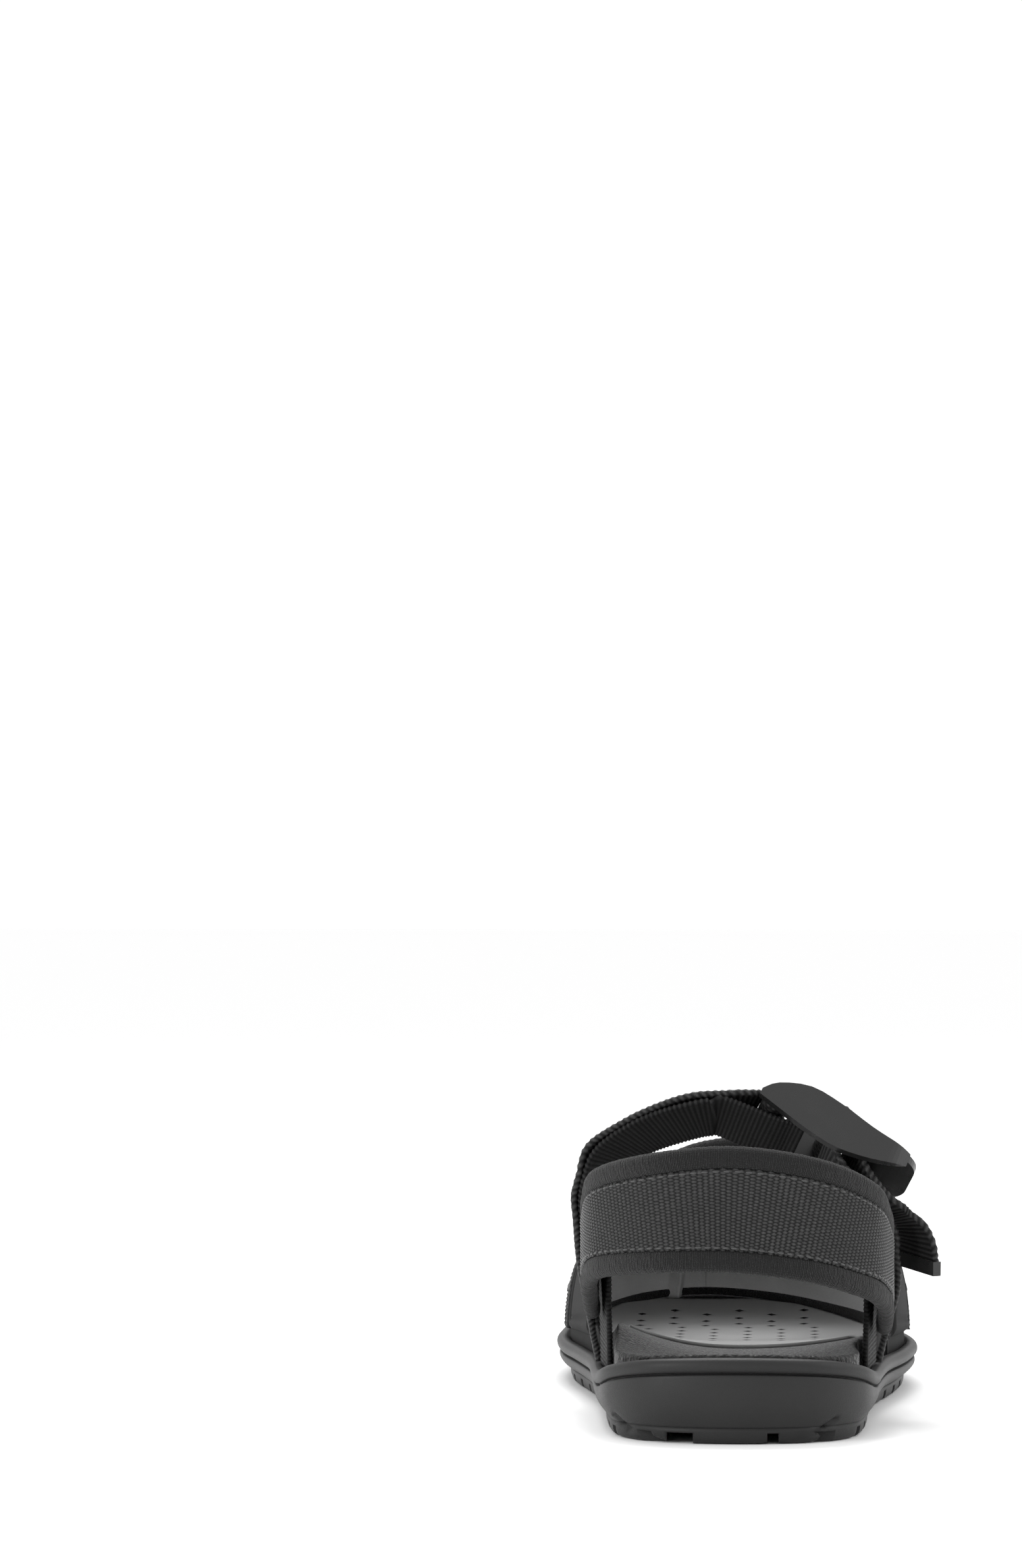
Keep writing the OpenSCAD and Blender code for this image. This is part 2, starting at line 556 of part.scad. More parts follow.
strap_ref = [0, cos(pitch), -sin(pitch)];
buckle_ref = turned([0, 1, 0]);
INSTEP_STEPS = 30;
INSTEP_PATH = [
    [-38.2, 108, 12.6], [-40.8, 107, 24], [-43.8, 102, 42], [-43.8, 98, 56], [-41.4, 96, 65],
    [-36.6, 94.6, 72.2], [-26, 92.4, 78.9], [-13, 90.8, 83.2], [-3, 91, 84.6]];
instep_path = curve(concat([for (p = INSTEP_PATH) at(p[0], p[1], p[2])],
    [buckle_at(HINGE[0] - bar_r - web_t - 0.6, HINGE[1] - web_t / 2)]), INSTEP_STEPS);
instep_ref = concat(turning([0, 1, 0], strap_ref, 14), turning(strap_ref, buckle_ref, 15));
loop_clear = 0.1;       // running clearance of a webbing loop on its bar

module instep_webbing() {
    color("#2e2e30") strip(instep_path, instep_ref, strap_w, 0, web_t);
}
// Inner layer, which runs on under the buckle
UNDERLAY_FROM = 4;      // the underlay starts at this point of the strap's path
UNDER_BUCKLE = [[0, 4.9], [4.5, 4.8], [9, 4.2], [13, 4.6]];   // along the buckle, below its hinge
module instep_underlay() {
    last = INSTEP_STEPS - 4;
    path = concat([for (i = [UNDERLAY_FROM : last]) instep_path[i]],
        [for (p = UNDER_BUCKLE) buckle_at(p[0], HINGE[1] - p[1])]);
    refs = concat([for (i = [UNDERLAY_FROM : last]) instep_ref[i]], [for (x = [0 : 3]) buckle_ref]);
    color("#27272a") strip(path, refs, strap_w, -web_t - seam, web_t);
}
// Cylinder across the buckle, between its rails
module bar(p, r, l) { translate([p[0], l / 2, p[1]]) rotate([90, 0, 0]) cylinder(r = r, h = l); }
module eye(p, l) {
    difference() {
        bar(p, bar_r + loop_clear + web_t, l);
        bar(p, bar_r + loop_clear, l + 2);
    }
}
module instep_loop() { color("#2e2e30") on_buckle() eye(HINGE, strap_w); }

RAIL_TOP = [[-2.6, 0.6], [1.2, 4.2], [10, 7], [20, 5.6], [30, 2.9], [38, 1.4], [46, 0.4]];
RAIL_LOW = [[46, -1.4], [40, -4.4], [33, -6.3], [23, -7.3], [14, -5.9], [5, -3.4], [-2.6, -1.2]];
inside_w = strap_w + 1.2;                 // clear width between the rails
buckle_w = inside_w + 2 * rail_t;
reach = (LOOP_BAR[0] + bill_l) / 46;      // the rails are drawn 46 long
function rail_outline() = concat(
    [for (p = curve(RAIL_TOP, 18)) [p[0] * (p[0] > 0 ? reach : 1), p[1]]],
    [for (p = curve(RAIL_LOW, 18)) [p[0] * (p[0] > 0 ? reach : 1), p[1]]]);
module plate_y(w, y) { translate([0, y + w / 2, 0]) rotate([90, 0, 0]) linear_extrude(w) children(); }
module rail(side) { plate_y(rail_t, side * (inside_w + rail_t) / 2) polygon(rail_outline()); }
// Curved bill that the fingers lift
module bill() {
    x0 = LOOP_BAR[0] + bar_r + web_t + 4.6;
    tip = 46 * reach;
    plate_y(inside_w + 0.2, 0) polygon(concat(
        [for (t = [0 : 8]) [mix(x0, tip, t / 8), mix(3.4, 0.4, t / 8) - 1.2 * sin(22.5 * t)]],
        [for (t = [8 : -1 : 0]) [mix(x0, tip, t / 8), mix(0.8, -1.4, t / 8) - 1.4 * sin(22.5 * t)]]));
}
// Plan of the buckle, with a round free end
module buckle_plan() {
    r = 10;
    translate([0, 0, -20]) linear_extrude(40) hull() {
        translate([-10, -buckle_w / 2]) square([1, buckle_w]);
        for (side = [-1, 1]) translate([46 * reach - r, side * (buckle_w / 2 - r)]) circle(r);
    }
}
module buckle_frame() {
    color("#2a2a2c") on_buckle() {
        difference() {
            intersection() {
                union() {
                    rail(-1);
                    rail(1);
                    bill();
                }
                buckle_plan();
            }
            bar(HINGE, bar_r, buckle_w - 2);
            bar(LOOP_BAR, bar_r, buckle_w - 2);
        }
    }
}
module buckle_hinge_bar() { color("#3a3a3c") on_buckle() bar(HINGE, bar_r, buckle_w - 2); }
module buckle_loop_bar() { color("#3a3a3c") on_buckle() bar(LOOP_BAR, bar_r, buckle_w - 2); }
module strap_loop() { color("#2e2e30") on_buckle() eye(LOOP_BAR, strap_w); }

// Webbing from the sole up to the underside of the loop
ANCHOR_PATH = [[38.2, 108, 12.6], [40.4, 106, 25], [41, 101, 37], [37.8, 94.5, 49],
    [32.2, 89, 57.4]];
module buckle_anchor() {
    path = curve(concat([for (p = ANCHOR_PATH) at(p[0], p[1], p[2])],
        [buckle_at(LOOP_BAR[0] + 3.4, LOOP_BAR[1] - 12.4), buckle_at(LOOP_BAR[0] - 1.6, LOOP_BAR[1] - 7)]),
        20);
    refs = [for (i = [0 : 20]) unit(mix([0, 1, 0], buckle_ref, min(i / 13, 1)))];
    color("#2b2b2d") strip(path, refs, strap_w, -web_t, web_t);
}

// Free end of the strap: it leads down from the loop under the bill and then hangs free
TAIL_LEAD = [10.6, -11];            // from the loop bar, in the buckle's own plane
TAIL_PIVOT = [38.2, 88.6, 58.6];
TAIL = [[42.9, 90, 55.6], [47, 91, 53], [49, 91.6, 49], [49.2, 92, 44.5]];
tail_root = buckle_at(LOOP_BAR[0] + bar_r + web_t + 1, LOOP_BAR[1] - 1.8);
tail_end_ref = [-0.43, 0.85, 0.2];
tail_bend_ref = mix(buckle_ref, tail_end_ref, 0.3);
tail_curve = curve(concat(
    [tail_root, buckle_at(LOOP_BAR[0] + TAIL_LEAD[0], LOOP_BAR[1] + TAIL_LEAD[1])],
    [for (p = concat([TAIL_PIVOT], TAIL)) at(p[0], p[1], p[2])]), 24);
module tail_lead() {
    path = [for (i = [0 : 7]) tail_curve[i]];
    refs = [for (i = [0 : 7]) unit(mix(buckle_ref, tail_bend_ref, max(i - 4, 0) / 3))];
    color("#2e2e30") strip(path, refs, strap_w, 0, web_t);
}
tail_path = [for (i = [8 : 24]) tail_curve[i] + (i == 8 ? heading(tail_curve, 8) * gap : [0, 0, 0])];
tail_refs = turning(tail_bend_ref, tail_end_ref, 16);
module strap_tail() { color("#2e2e30") strip(tail_path, tail_refs, strap_w, 0, web_t); }
module tail_tip() {
    path = [for (t = [0, 2, 4]) tail_path[16] + heading(tail_path, 16) * (t + seam)];
    color("#222224") strip(path, tail_end_ref, strap_w + 0.6, -0.4, web_t + 0.8);
}

outsole();
midsole();
shank();
footbed();
footbed_sheet();
vamp_shell();
vamp_lining();
vamp_binding();
toe_bumper();
panel_medial();
panel_lateral();
forefoot_webbing();
forefoot_bartacks();
heel_anchor_medial();
heel_anchor_lateral();
instep_webbing();
instep_underlay();
instep_loop();
buckle_anchor();
heel_pad();
heel_webbing();
heel_binding_top();
heel_binding_bottom();
heel_bartacks();
buckle_frame();
buckle_hinge_bar();
buckle_loop_bar();
strap_loop();
tail_lead();
strap_tail();
tail_tip();
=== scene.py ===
"""Looks of the right sport sandal: heel at -Y, toe at +Y, outer side at +X, floor at Z = 0.

Lengths are millimetres until they reach a mesh, modifier, joint or camera, which take metres.
Lamps are placed and sized in metres.
"""

import math

import bpy
import numpy as np
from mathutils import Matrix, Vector
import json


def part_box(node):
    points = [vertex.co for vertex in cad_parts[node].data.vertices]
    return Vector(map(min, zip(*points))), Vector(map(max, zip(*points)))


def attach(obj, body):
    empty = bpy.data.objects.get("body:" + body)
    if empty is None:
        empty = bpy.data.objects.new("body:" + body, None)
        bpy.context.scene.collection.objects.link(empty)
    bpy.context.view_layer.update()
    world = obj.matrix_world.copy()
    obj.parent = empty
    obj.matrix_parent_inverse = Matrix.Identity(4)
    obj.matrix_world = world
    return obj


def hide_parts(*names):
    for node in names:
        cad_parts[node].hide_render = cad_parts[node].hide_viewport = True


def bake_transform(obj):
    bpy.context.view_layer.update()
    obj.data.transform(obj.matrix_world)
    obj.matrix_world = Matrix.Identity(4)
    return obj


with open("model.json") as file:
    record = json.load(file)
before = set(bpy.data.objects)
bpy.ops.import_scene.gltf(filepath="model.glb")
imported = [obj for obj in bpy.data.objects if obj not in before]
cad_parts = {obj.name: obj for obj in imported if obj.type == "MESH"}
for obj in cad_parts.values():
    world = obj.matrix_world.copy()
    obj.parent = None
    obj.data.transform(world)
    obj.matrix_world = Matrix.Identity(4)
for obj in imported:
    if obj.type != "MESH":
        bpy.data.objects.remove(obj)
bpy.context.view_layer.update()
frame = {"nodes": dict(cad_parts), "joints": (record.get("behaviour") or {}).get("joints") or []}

ROOT, HEEL, BUCKLE, TAIL = "sole_and_upper", "heel_strap", "buckle", "strap_tail_body"
MM = 1000           # millimetres in a metre
HINGES = {j["name"]: j for j in frame["joints"]}
CENTRE_X = -HINGES["heel_strap_tilt"]["pos_m"][0] * MM     # heel's centre line
HALF_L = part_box("midsole")[1].y * MM                       # half of the sole's length
STRAP_W = 25        # webbing of the instep strap
WEB_T = 1.6         # one layer of webbing
HEEL_STRAP_W = 34
BINDING_W = 6.4
BAR_R = 2           # buckle bars

# ---- curves -------------------------------------------------------------------------------


def mix(a, b, t):
    return a + (b - a) * t


def unit(v):
    v = np.asarray(v, float)
    return v / np.linalg.norm(v, axis=-1, keepdims=True)


def smooth(x, low, high):
    """0 below low, 1 above high, and an even turn between them."""
    t = np.clip((x - low) / (high - low), 0, 1)
    return t * t * (3 - 2 * t)


def bell(x, middle, width):
    return np.exp(-((x - middle) / width) ** 2)


def value(y, knots):
    """Smooth function of y through knots (y, value)."""
    ys, vs = np.array(knots, float).T
    rises = np.diff(vs) / np.diff(ys)
    slopes = np.concatenate([rises[:1], (rises[1:] + rises[:-1]) / 2, rises[-1:]])
    i = np.clip(np.searchsorted(ys, y, side="right") - 1, 0, len(ys) - 2)
    h = ys[i + 1] - ys[i]
    t = (y - ys[i]) / h
    step, u, v = vs[i + 1] - vs[i], slopes[i] * h, slopes[i + 1] * h
    return vs[i] + u * t + (3 * step - 2 * u - v) * t ** 2 + (u + v - 2 * step) * t ** 3


def along(points, s, closed=False):
    """Points s = 0 .. len - 1 along a smooth curve through points."""
    points, s = np.asarray(points, float), np.asarray(s, float)
    n = len(points)
    i = np.floor(s).astype(int) if closed else np.clip(np.floor(s).astype(int), 0, n - 2)
    t = (s - i)[..., None]
    pick = (lambda k: points[k % n]) if closed else (lambda k: points[np.clip(k, 0, n - 1)])
    a, b, c, d = pick(i - 1), pick(i), pick(i + 1), pick(i + 2)
    return 0.5 * (2 * b + (c - a) * t + (2 * a - 5 * b + 4 * c - d) * t ** 2
                  + (3 * b - a - 3 * c + d) * t ** 3)


def curve(points, steps):
    return along(points, np.linspace(0, len(points) - 1, steps + 1))


def even(points, step):
    """Even points along a smooth curve: (points, share of the way by knots, length so far)."""
    s = np.linspace(0, len(points) - 1, 40 * len(points))
    fine = along(points, s)
    run = np.concatenate([[0], np.cumsum(np.linalg.norm(np.diff(fine, axis=0), axis=1))])
    length = np.linspace(0, run[-1], max(int(run[-1] / step), 4) + 1)
    knots = np.interp(length, run, s)
    return along(points, knots), knots / (len(points) - 1), length


def at(x, y, z):
    """Point of the frame from one drawn from the back of the heel."""
    return np.stack(np.broadcast_arrays(x - CENTRE_X, y - HALF_L, z), -1).astype(float)


def drawn_y(p):
    return p[..., 1] + HALF_L


# ---- sole outline and heights --------------------------------------------------------------

OUTLINE = [
    (0, 0), (22, 5), (35, 20), (39, 42), (40.5, 75), (43.5, 112), (49.5, 150), (52, 185),
    (47.5, 222), (37, 253), (16, 278), (-12, 288), (-37, 277), (-51, 248), (-55, 213),
    (-53.5, 180), (-48, 146), (-43, 110), (-41, 75), (-39, 42), (-35, 20), (-22, 5)]
TOE = 11
SIDES = 396
HEEL_RIM, TOE_RIM, BEAD_H, TOE_SPRING = 23.5, 13, 4.2, 6
FOOTBED_T, ARCH_RISE = 8.5, 12
BOTTOM = 4.4        # joint of the midsole and the outsole above the floor
TREAD = 3           # depth of the channels


def edge(s):
    p = along(OUTLINE, s, closed=True)
    return at(p[..., 0], p[..., 1], 0)


def outward(s):
    d = edge(s + 0.05) - edge(s - 0.05)
    return unit(np.stack([d[..., 1], -d[..., 0], np.zeros_like(d[..., 0])], -1))


def rim(s, inset):
    return edge(s) - outward(s) * np.asarray(inset)[..., None]


def side_s(y, side):
    """Place along the outline at y from the heel. side is -1 on the inner side."""
    low, high = np.zeros_like(np.asarray(y, float)), np.full_like(np.asarray(y, float), 8)
    for _ in range(20):
        middle = (low + high) / 2
        beyond = drawn_y(edge(TOE - side * middle)) > y
        low, high = np.where(beyond, middle, low), np.where(beyond, high, middle)
    return TOE - side * (low + high) / 2


def half_width(y):
    return value(y, [(0, 12), (5, 22), (20, 35), (42, 39), (75, 40.7), (112, 43.2), (150, 49),
                     (185, 53), (222, 50.5), (254, 43), (276, 28), (288, 12)])


def middle_x(y):
    return value(y, [(0, 0), (75, 0), (112, 0.3), (150, 0.7), (185, -0.9), (222, -3.5),
                     (254, -9), (288, -14)])


def across(p):
    y = drawn_y(p)
    return np.clip((p[..., 0] + CENTRE_X - middle_x(y)) / half_width(y), -1, 1)


def spring_z(y):
    return TOE_SPRING * (np.maximum(y - 215, 0) / 73) ** 2


def rim_z(y):
    fall = value(y, [(0, 1), (12, 0.82), (35, 0.43), (60, 0.22), (110, 0.1), (200, 0), (288, 0)])
    return TOE_RIM + spring_z(y) + (HEEL_RIM - TOE_RIM) * fall


def dish(y):
    return value(y, [(0, 0.5), (20, 3), (50, 4.5), (100, 3), (150, 1.5), (288, 0.8)])


def seat_z(p):
    return rim_z(drawn_y(p)) - 1 - dish(drawn_y(p)) * (1 - across(p) ** 2)


def foot_z(p):
    """Top surface of the footbed."""
    y, u = drawn_y(p), across(p)
    wing = value(y, [(0, 0), (20, 0.15), (45, 0.5), (72, 1), (98, 0.92), (130, 0.4),
                     (160, 0.1), (288, 0.05)])
    flank = value(y, [(0, 0), (20, 1.5), (50, 3.8), (90, 4.4), (130, 2.6), (170, 0.8), (288, 0.6)])
    lift = value(y, [(0, 0.4), (12, -0.4), (30, 1.2), (60, 2.5), (100, 2.6), (150, 0),
                     (200, -1), (288, -1.5)])
    side = np.where(u < 0, ARCH_RISE * wing, flank)
    return rim_z(y) + FOOTBED_T - 6.6 + lift + side * np.abs(u) ** 2.4 - dish(y) * 0.35 * (1 - u * u)


def foot_taper(y):
    return value(y, [(0, 3.4), (60, 3.8), (120, 4.2), (200, 4), (288, 5.5)])


def footbed_inset(y):
    return value(y, [(0, 3.7), (30, 4.6), (62, 7), (288, 7)])


RING_S = np.arange(SIDES) * len(OUTLINE) / SIDES
RING_Y = drawn_y(edge(RING_S))


def sole_ring(inset, height):
    """Ring of the sole. inset is a number or a list over the ring, height a function of a point."""
    p = rim(RING_S, np.broadcast_to(inset, SIDES))
    p[:, 2] = height(p) if callable(height) else height
    return p


def inner_ring(inset, share, height):
    """The same ring drawn in towards a line along the sole."""
    y_in = mix(28, 2 * HALF_L - 34, RING_Y / (2 * HALF_L))
    p = mix(rim(RING_S, np.broadcast_to(inset, SIDES)), at(middle_x(y_in), y_in, 0), share)
    p[:, 2] = height(p)
    return p


# ---- mesh building -------------------------------------------------------------------------


def make(name, points, faces, body, finish, replaced=(), relief=None, place=None):
    """New piece from points in mm. relief and place are numbers per point that materials read."""
    mesh = bpy.data.meshes.new(name)
    mesh.from_pydata((np.asarray(points) / MM).tolist(), [], faces)
    mesh.validate()
    mesh.polygons.foreach_set("use_smooth", np.ones(len(mesh.polygons), bool))
    if relief is not None:
        layer = mesh.attributes.new("relief", "FLOAT", "POINT")
        layer.data.foreach_set("value", np.asarray(relief, np.float32).ravel())
    if place is not None:
        layer = mesh.attributes.new("place", "FLOAT_VECTOR", "POINT")
        layer.data.foreach_set("vector", np.asarray(place, np.float32).ravel())
    piece = bpy.data.objects.new(name, mesh)
    bpy.context.scene.collection.objects.link(piece)
    piece.data.materials.append(finish)
    if replaced:
        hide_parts(*replaced)
    if body:
        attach(piece, body)
    return piece


def grid_faces(rows, cols, wrap_rows=False, wrap_cols=False, flip=False, start=0):
    i = np.arange(rows if wrap_rows else rows - 1)[:, None]
    j = np.arange(cols if wrap_cols else cols - 1)[None]
    a, b = start + i * cols + j, start + i * cols + (j + 1) % cols
    up = (i + 1) % rows - i
    quads = np.stack([a, b, b + up * cols, a + up * cols], -1).reshape(-1, 4)
    return (quads[:, ::-1] if flip else quads).tolist()


def stack(name, rings, body, finish, replaced=(), place=None):
    """Closed solid through rings of the sole, from the bottom to the top."""
    n, m = len(rings), len(rings[0])
    faces = grid_faces(n, m, wrap_cols=True)
    half = m // 2
    for base, flip in ((0, True), ((n - 1) * m, False)):
        for j in range(half):
            quad = [base + j, base + j + 1, base + (m - j - 1) % m, base + (m - j) % m]
            quad = list(dict.fromkeys(quad))
            faces.append(quad[::-1] if flip else quad)
    return make(name, np.concatenate(rings), faces, body, finish, replaced, place=place)


def strip(name, path, refs, half, lift, thick, relief, body, finish, replaced=(),
          step=0.45, cell=0.45, edge_cells=5, closed=False):
    """Strap of woven tape along a path.

    refs points across it, half(f) is half of its width, lift(f) and thick(f) put it out of the
    path, and relief(length, across, side) raises the weave: side is 1 outside and -1 inside.
    """
    path, share, run = even(path, step)
    refs = unit(along(refs, share * (len(refs) - 1)))
    if closed:
        path, refs, share, run = path[:-1], refs[:-1], share[:-1], run[:-1]
        heads = unit(np.roll(path, -1, 0) - np.roll(path, 1, 0))
    else:
        heads = unit(np.gradient(path, axis=0))
    wide = unit(refs - (refs * heads).sum(1, keepdims=True) * heads)
    out = np.cross(heads, wide)
    half, lift, thick = (np.broadcast_to(f(share), share.shape) for f in (half, lift, thick))
    flats = max(int(2 * half.max() / cell), 2)
    turns = np.linspace(0, math.pi, edge_cells + 2)[1:-1]
    spot = np.concatenate([np.linspace(-1, 1, flats + 1), np.ones(edge_cells),
                           np.linspace(1, -1, flats + 1), -np.ones(edge_cells)])
    turn = np.concatenate([np.zeros(flats + 1), turns, np.full(flats + 1, math.pi),
                           turns + math.pi])
    radius = thick / 2
    v = spot * (half - radius)[:, None] + np.sin(turn) * radius[:, None]
    z = lift[:, None] + radius[:, None] * (1 + np.cos(turn))
    side = np.cos(turn)
    raised = relief(run[:, None] + 0 * v, v + 0 * z, side + 0 * v)
    z = z + side * raised
    v = v + np.sin(turn) * raised
    points = path[:, None] + wide[:, None] * v[..., None] + out[:, None] * z[..., None]
    n, m = v.shape
    faces = grid_faces(n, m, wrap_rows=closed, wrap_cols=True, flip=True)
    if not closed:
        for row, flip in ((0, False), (n - 1, True)):
            rungs = [[row * m + j, row * m + j + 1, row * m + m - 2 - j - edge_cells,
                      row * m + m - 1 - j - edge_cells] for j in range(flats)]
            tips = [[row * m + flats + k for k in range(edge_cells + 2)],
                    [row * m + (2 * flats + 1 + edge_cells + k) % m for k in range(edge_cells + 2)]]
            faces += [f[::-1] if flip else f for f in rungs + tips]
    place = np.stack([run[:, None] + 0 * v, v, side + 0 * v], -1)
    span = max(float(np.ptp(raised)), 1e-6)
    return make(name, points.reshape(-1, 3), faces, body, finish, replaced,
                relief=(raised - raised.min()) / span, place=place.reshape(-1, 3))


# ---- materials -----------------------------------------------------------------------------


class Nodes:
    """Short way to build one material's nodes. Places are read in mm."""

    def __init__(self, name, roughness, sheen=0, specular=0.5):
        self.material = bpy.data.materials.new(name)
        self.material.use_nodes = True
        self.tree = self.material.node_tree
        self.shader = self.tree.nodes["Principled BSDF"]
        self.shader.inputs["Roughness"].default_value = roughness
        self.shader.inputs["Specular IOR Level"].default_value = specular
        self.shader.inputs["Sheen Weight"].default_value = sheen
        self.shader.inputs["Sheen Roughness"].default_value = 0.45
        self.normal = None
        coordinates = self.tree.nodes.new("ShaderNodeTexCoord")
        self.position = self.vector("MULTIPLY", coordinates.outputs["Object"], (MM, MM, MM))

    def add(self, kind, **settings):
        node = self.tree.nodes.new(kind)
        for key, setting in settings.items():
            setattr(node, key, setting)
        return node

    def put(self, socket, what):
        if isinstance(what, bpy.types.NodeSocket):
            self.tree.links.new(what, socket)
        else:
            socket.default_value = what

    def math(self, operation, a, b=0.0, c=0.0):
        node = self.add("ShaderNodeMath", operation=operation)
        for socket, what in zip(node.inputs, (a, b, c)):
            self.put(socket, what)
        return node.outputs[0]

    def vector(self, operation, a, b):
        node = self.add("ShaderNodeVectorMath", operation=operation)
        self.put(node.inputs[0], a)
        self.put(node.inputs[1], b)
        return node.outputs[0]

    def attribute(self, name, output="Fac"):
        return self.add("ShaderNodeAttribute", attribute_name=name).outputs[output]

    def split(self, vector):
        node = self.add("ShaderNodeSeparateXYZ")
        self.put(node.inputs[0], vector)
        return node.outputs

    def noise(self, per_mm, detail=3, vector=None, stretch=None):
        """Noise from 0 to 1 with about per_mm lumps in a millimetre."""
        node = self.add("ShaderNodeTexNoise")
        where = self.position if vector is None else vector
        if stretch:
            where = self.vector("MULTIPLY", where, stretch)
        self.put(node.inputs["Vector"], where)
        node.inputs["Scale"].default_value = per_mm
        node.inputs["Detail"].default_value = detail
        return node.outputs[0]

    def cells(self, per_mm, feature="F1"):
        node = self.add("ShaderNodeTexVoronoi", feature=feature)
        self.put(node.inputs["Vector"], self.position)
        node.inputs["Scale"].default_value = per_mm
        return node.outputs["Distance"]

    def range(self, what, low, high, to_low, to_high):
        node = self.add("ShaderNodeMapRange")
        for socket, given in zip(node.inputs, (what, low, high, to_low, to_high)):
            self.put(socket, given)
        return node.outputs[0]

    def bump(self, height, depth):
        """Adds a relief of depth mm. height runs from 0 to 1."""
        node = self.add("ShaderNodeBump")
        node.inputs["Distance"].default_value = depth / MM
        self.put(node.inputs["Height"], height)
        if self.normal:
            self.put(node.inputs["Normal"], self.normal)
        self.normal = node.outputs[0]

    def finish(self, dark, light, share, roughness=None):
        """Colour between two greys, and roughness if it varies."""
        blend = self.add("ShaderNodeMix", data_type="RGBA")
        self.put(blend.inputs["Factor"], share)
        blend.inputs["A"].default_value = (*dark, 1)
        blend.inputs["B"].default_value = (*light, 1)
        self.put(self.shader.inputs["Base Color"], blend.outputs["Result"])
        if roughness is not None:
            self.put(self.shader.inputs["Roughness"], roughness)
        if self.normal:
            self.put(self.shader.inputs["Normal"], self.normal)
        return self.material


def grey(level, warm=0.0):
    """Near-neutral grey."""
    return (level * (1 + warm), level, level * (1 - warm))


def foam_rubber(name, level, roughness=0.5):
    """Moulded foam rubber: a satin skin with a fine grain and faint cloudy patches."""
    m = Nodes(name, roughness, sheen=0.02, specular=0.26)
    cloud = m.noise(0.05, 2)
    grain = m.noise(3.5, 2)
    m.bump(grain, 0.05)
    return m.finish(grey(level * 0.86), grey(level * 1.14),
                    m.math("ADD", m.math("MULTIPLY", cloud, 0.7), m.math("MULTIPLY", grain, 0.3)),
                    m.range(grain, 0.3, 0.7, roughness - 0.06, roughness + 0.08))


def pebbled_foam():
    """Soft footbed foam with a pebbled skin whose roughness varies, and whose colour is lighter on the
    pebbles' high points as a painted glint.
    """
    m = Nodes("footbed_foam", 0.46, specular=0.3)
    pebbles = m.range(m.cells(0.85, "SMOOTH_F1"), 0.05, 0.6, 1, 0)
    fine = m.noise(1.5, 4)
    m.bump(pebbles, 0.6)
    m.bump(fine, 0.5)
    # painted glint: the colour is lighter on the pebbles' high points and darker between them
    return m.finish(grey(0.003), grey(0.04), m.math("MULTIPLY", pebbles, m.range(fine, 0.35, 0.65, 0, 1)),
                    m.range(fine, 0.35, 0.65, 0.36, 0.62))


def perforated_sheet():
    """Smooth satin sheet with a faint rubbed cloudiness."""
    m = Nodes("satin_sheet", 0.6, specular=0.2)
    cloud = m.noise(0.07, 4)
    grain = m.noise(2.2, 3)
    m.bump(grain, 0.04)
    return m.finish(grey(0.24), grey(0.32), cloud, m.range(cloud, 0.3, 0.7, 0.55, 0.7))


def nubuck(name, level):
    """Brushed nubuck: short nap with soft light and dark strokes."""
    m = Nodes(name, 0.86, sheen=0.04, specular=0.12)
    strokes = m.noise(0.35, 5, stretch=(1, 0.35, 0.6))
    nap = m.noise(5, 3)
    m.bump(nap, 0.12)
    m.bump(strokes, 0.12)
    return m.finish(grey(level * 0.75), grey(level * 1.3),
                    m.math("ADD", m.math("MULTIPLY", strokes, 0.65), m.math("MULTIPLY", nap, 0.35)))


def microfibre():
    """Brushed lining cloth: fine fibres that lie lengthwise."""
    m = Nodes("microfibre", 0.9, sheen=0.2, specular=0.15)
    fibres = m.noise(1.6, 4, stretch=(1.4, 0.5, 1.4))
    cloud = m.noise(0.08, 2)
    m.bump(fibres, 0.1)
    return m.finish(grey(0.5), grey(0.7),
                    m.math("ADD", m.math("MULTIPLY", fibres, 0.5), m.math("MULTIPLY", cloud, 0.5)))


def stretch_knit(name, level):
    """Fine knit tape: ribs across the tape, 0.44 mm apart, under a fuzz of loose fibres; the colour is
    darker in the grooves between the ribs, as painted shade.
    """
    m = Nodes(name, 0.9, sheen=0.14, specular=0.15)
    run, over, _ = m.split(m.attribute("place", "Vector"))
    wander = m.math("MULTIPLY", m.noise(0.5, 2), 0.35)
    phase = m.math("MULTIPLY", m.math("ADD", run, wander), 2 * math.pi / 0.44)
    ribs = m.math("MULTIPLY_ADD", m.math("SINE", phase), 0.5, 0.5)
    loops = m.math("SINE", m.math("MULTIPLY", over, 2 * math.pi / 0.6))
    fuzz = m.noise(3, 4)
    m.bump(m.math("MULTIPLY_ADD", loops, 0.12, ribs), 0.16)
    m.bump(fuzz, 0.3)
    # painted shade: the colour is lighter on the rib crests and darker in the grooves, mixed with the
    # fuzz's random tone
    return m.finish(grey(level * 0.45), grey(level * 1.6), m.math("MULTIPLY", ribs, fuzz))


def woven(name, low, high, roughness=0.55, yarn=0.32, sheen=0.25):
    """Woven tape: the weave is in the mesh, and each yarn is twisted from fine filaments. The colour is
    darker in the weave's low places and lighter on its raised yarns, as painted shade.
    """
    m = Nodes(name, roughness, sheen=sheen, specular=0.22)
    relief = m.attribute("relief")
    run, over, _ = m.split(m.attribute("place", "Vector"))
    slant = m.math("MULTIPLY", m.math("ADD", run, m.math("MULTIPLY", over, 0.6)),
                   2 * math.pi / yarn)
    filaments = m.math("MULTIPLY_ADD", m.math("SINE", slant), 0.5, 0.5)
    uneven = m.noise(1.1, 3)
    m.bump(filaments, 0.06)
    m.bump(uneven, 0.12)
    # painted shade: the colour follows the relief height, dark in the gaps and light on the raised yarns,
    # with a random unevenness
    painted_shade = m.math("MULTIPLY", m.math("POWER", relief, 1.5), m.range(uneven, 0.25, 0.75, 0.5, 1.1))
    return m.finish(grey(low), grey(high), painted_shade,
                    m.range(relief, 0, 1, roughness + 0.25, roughness - 0.08))


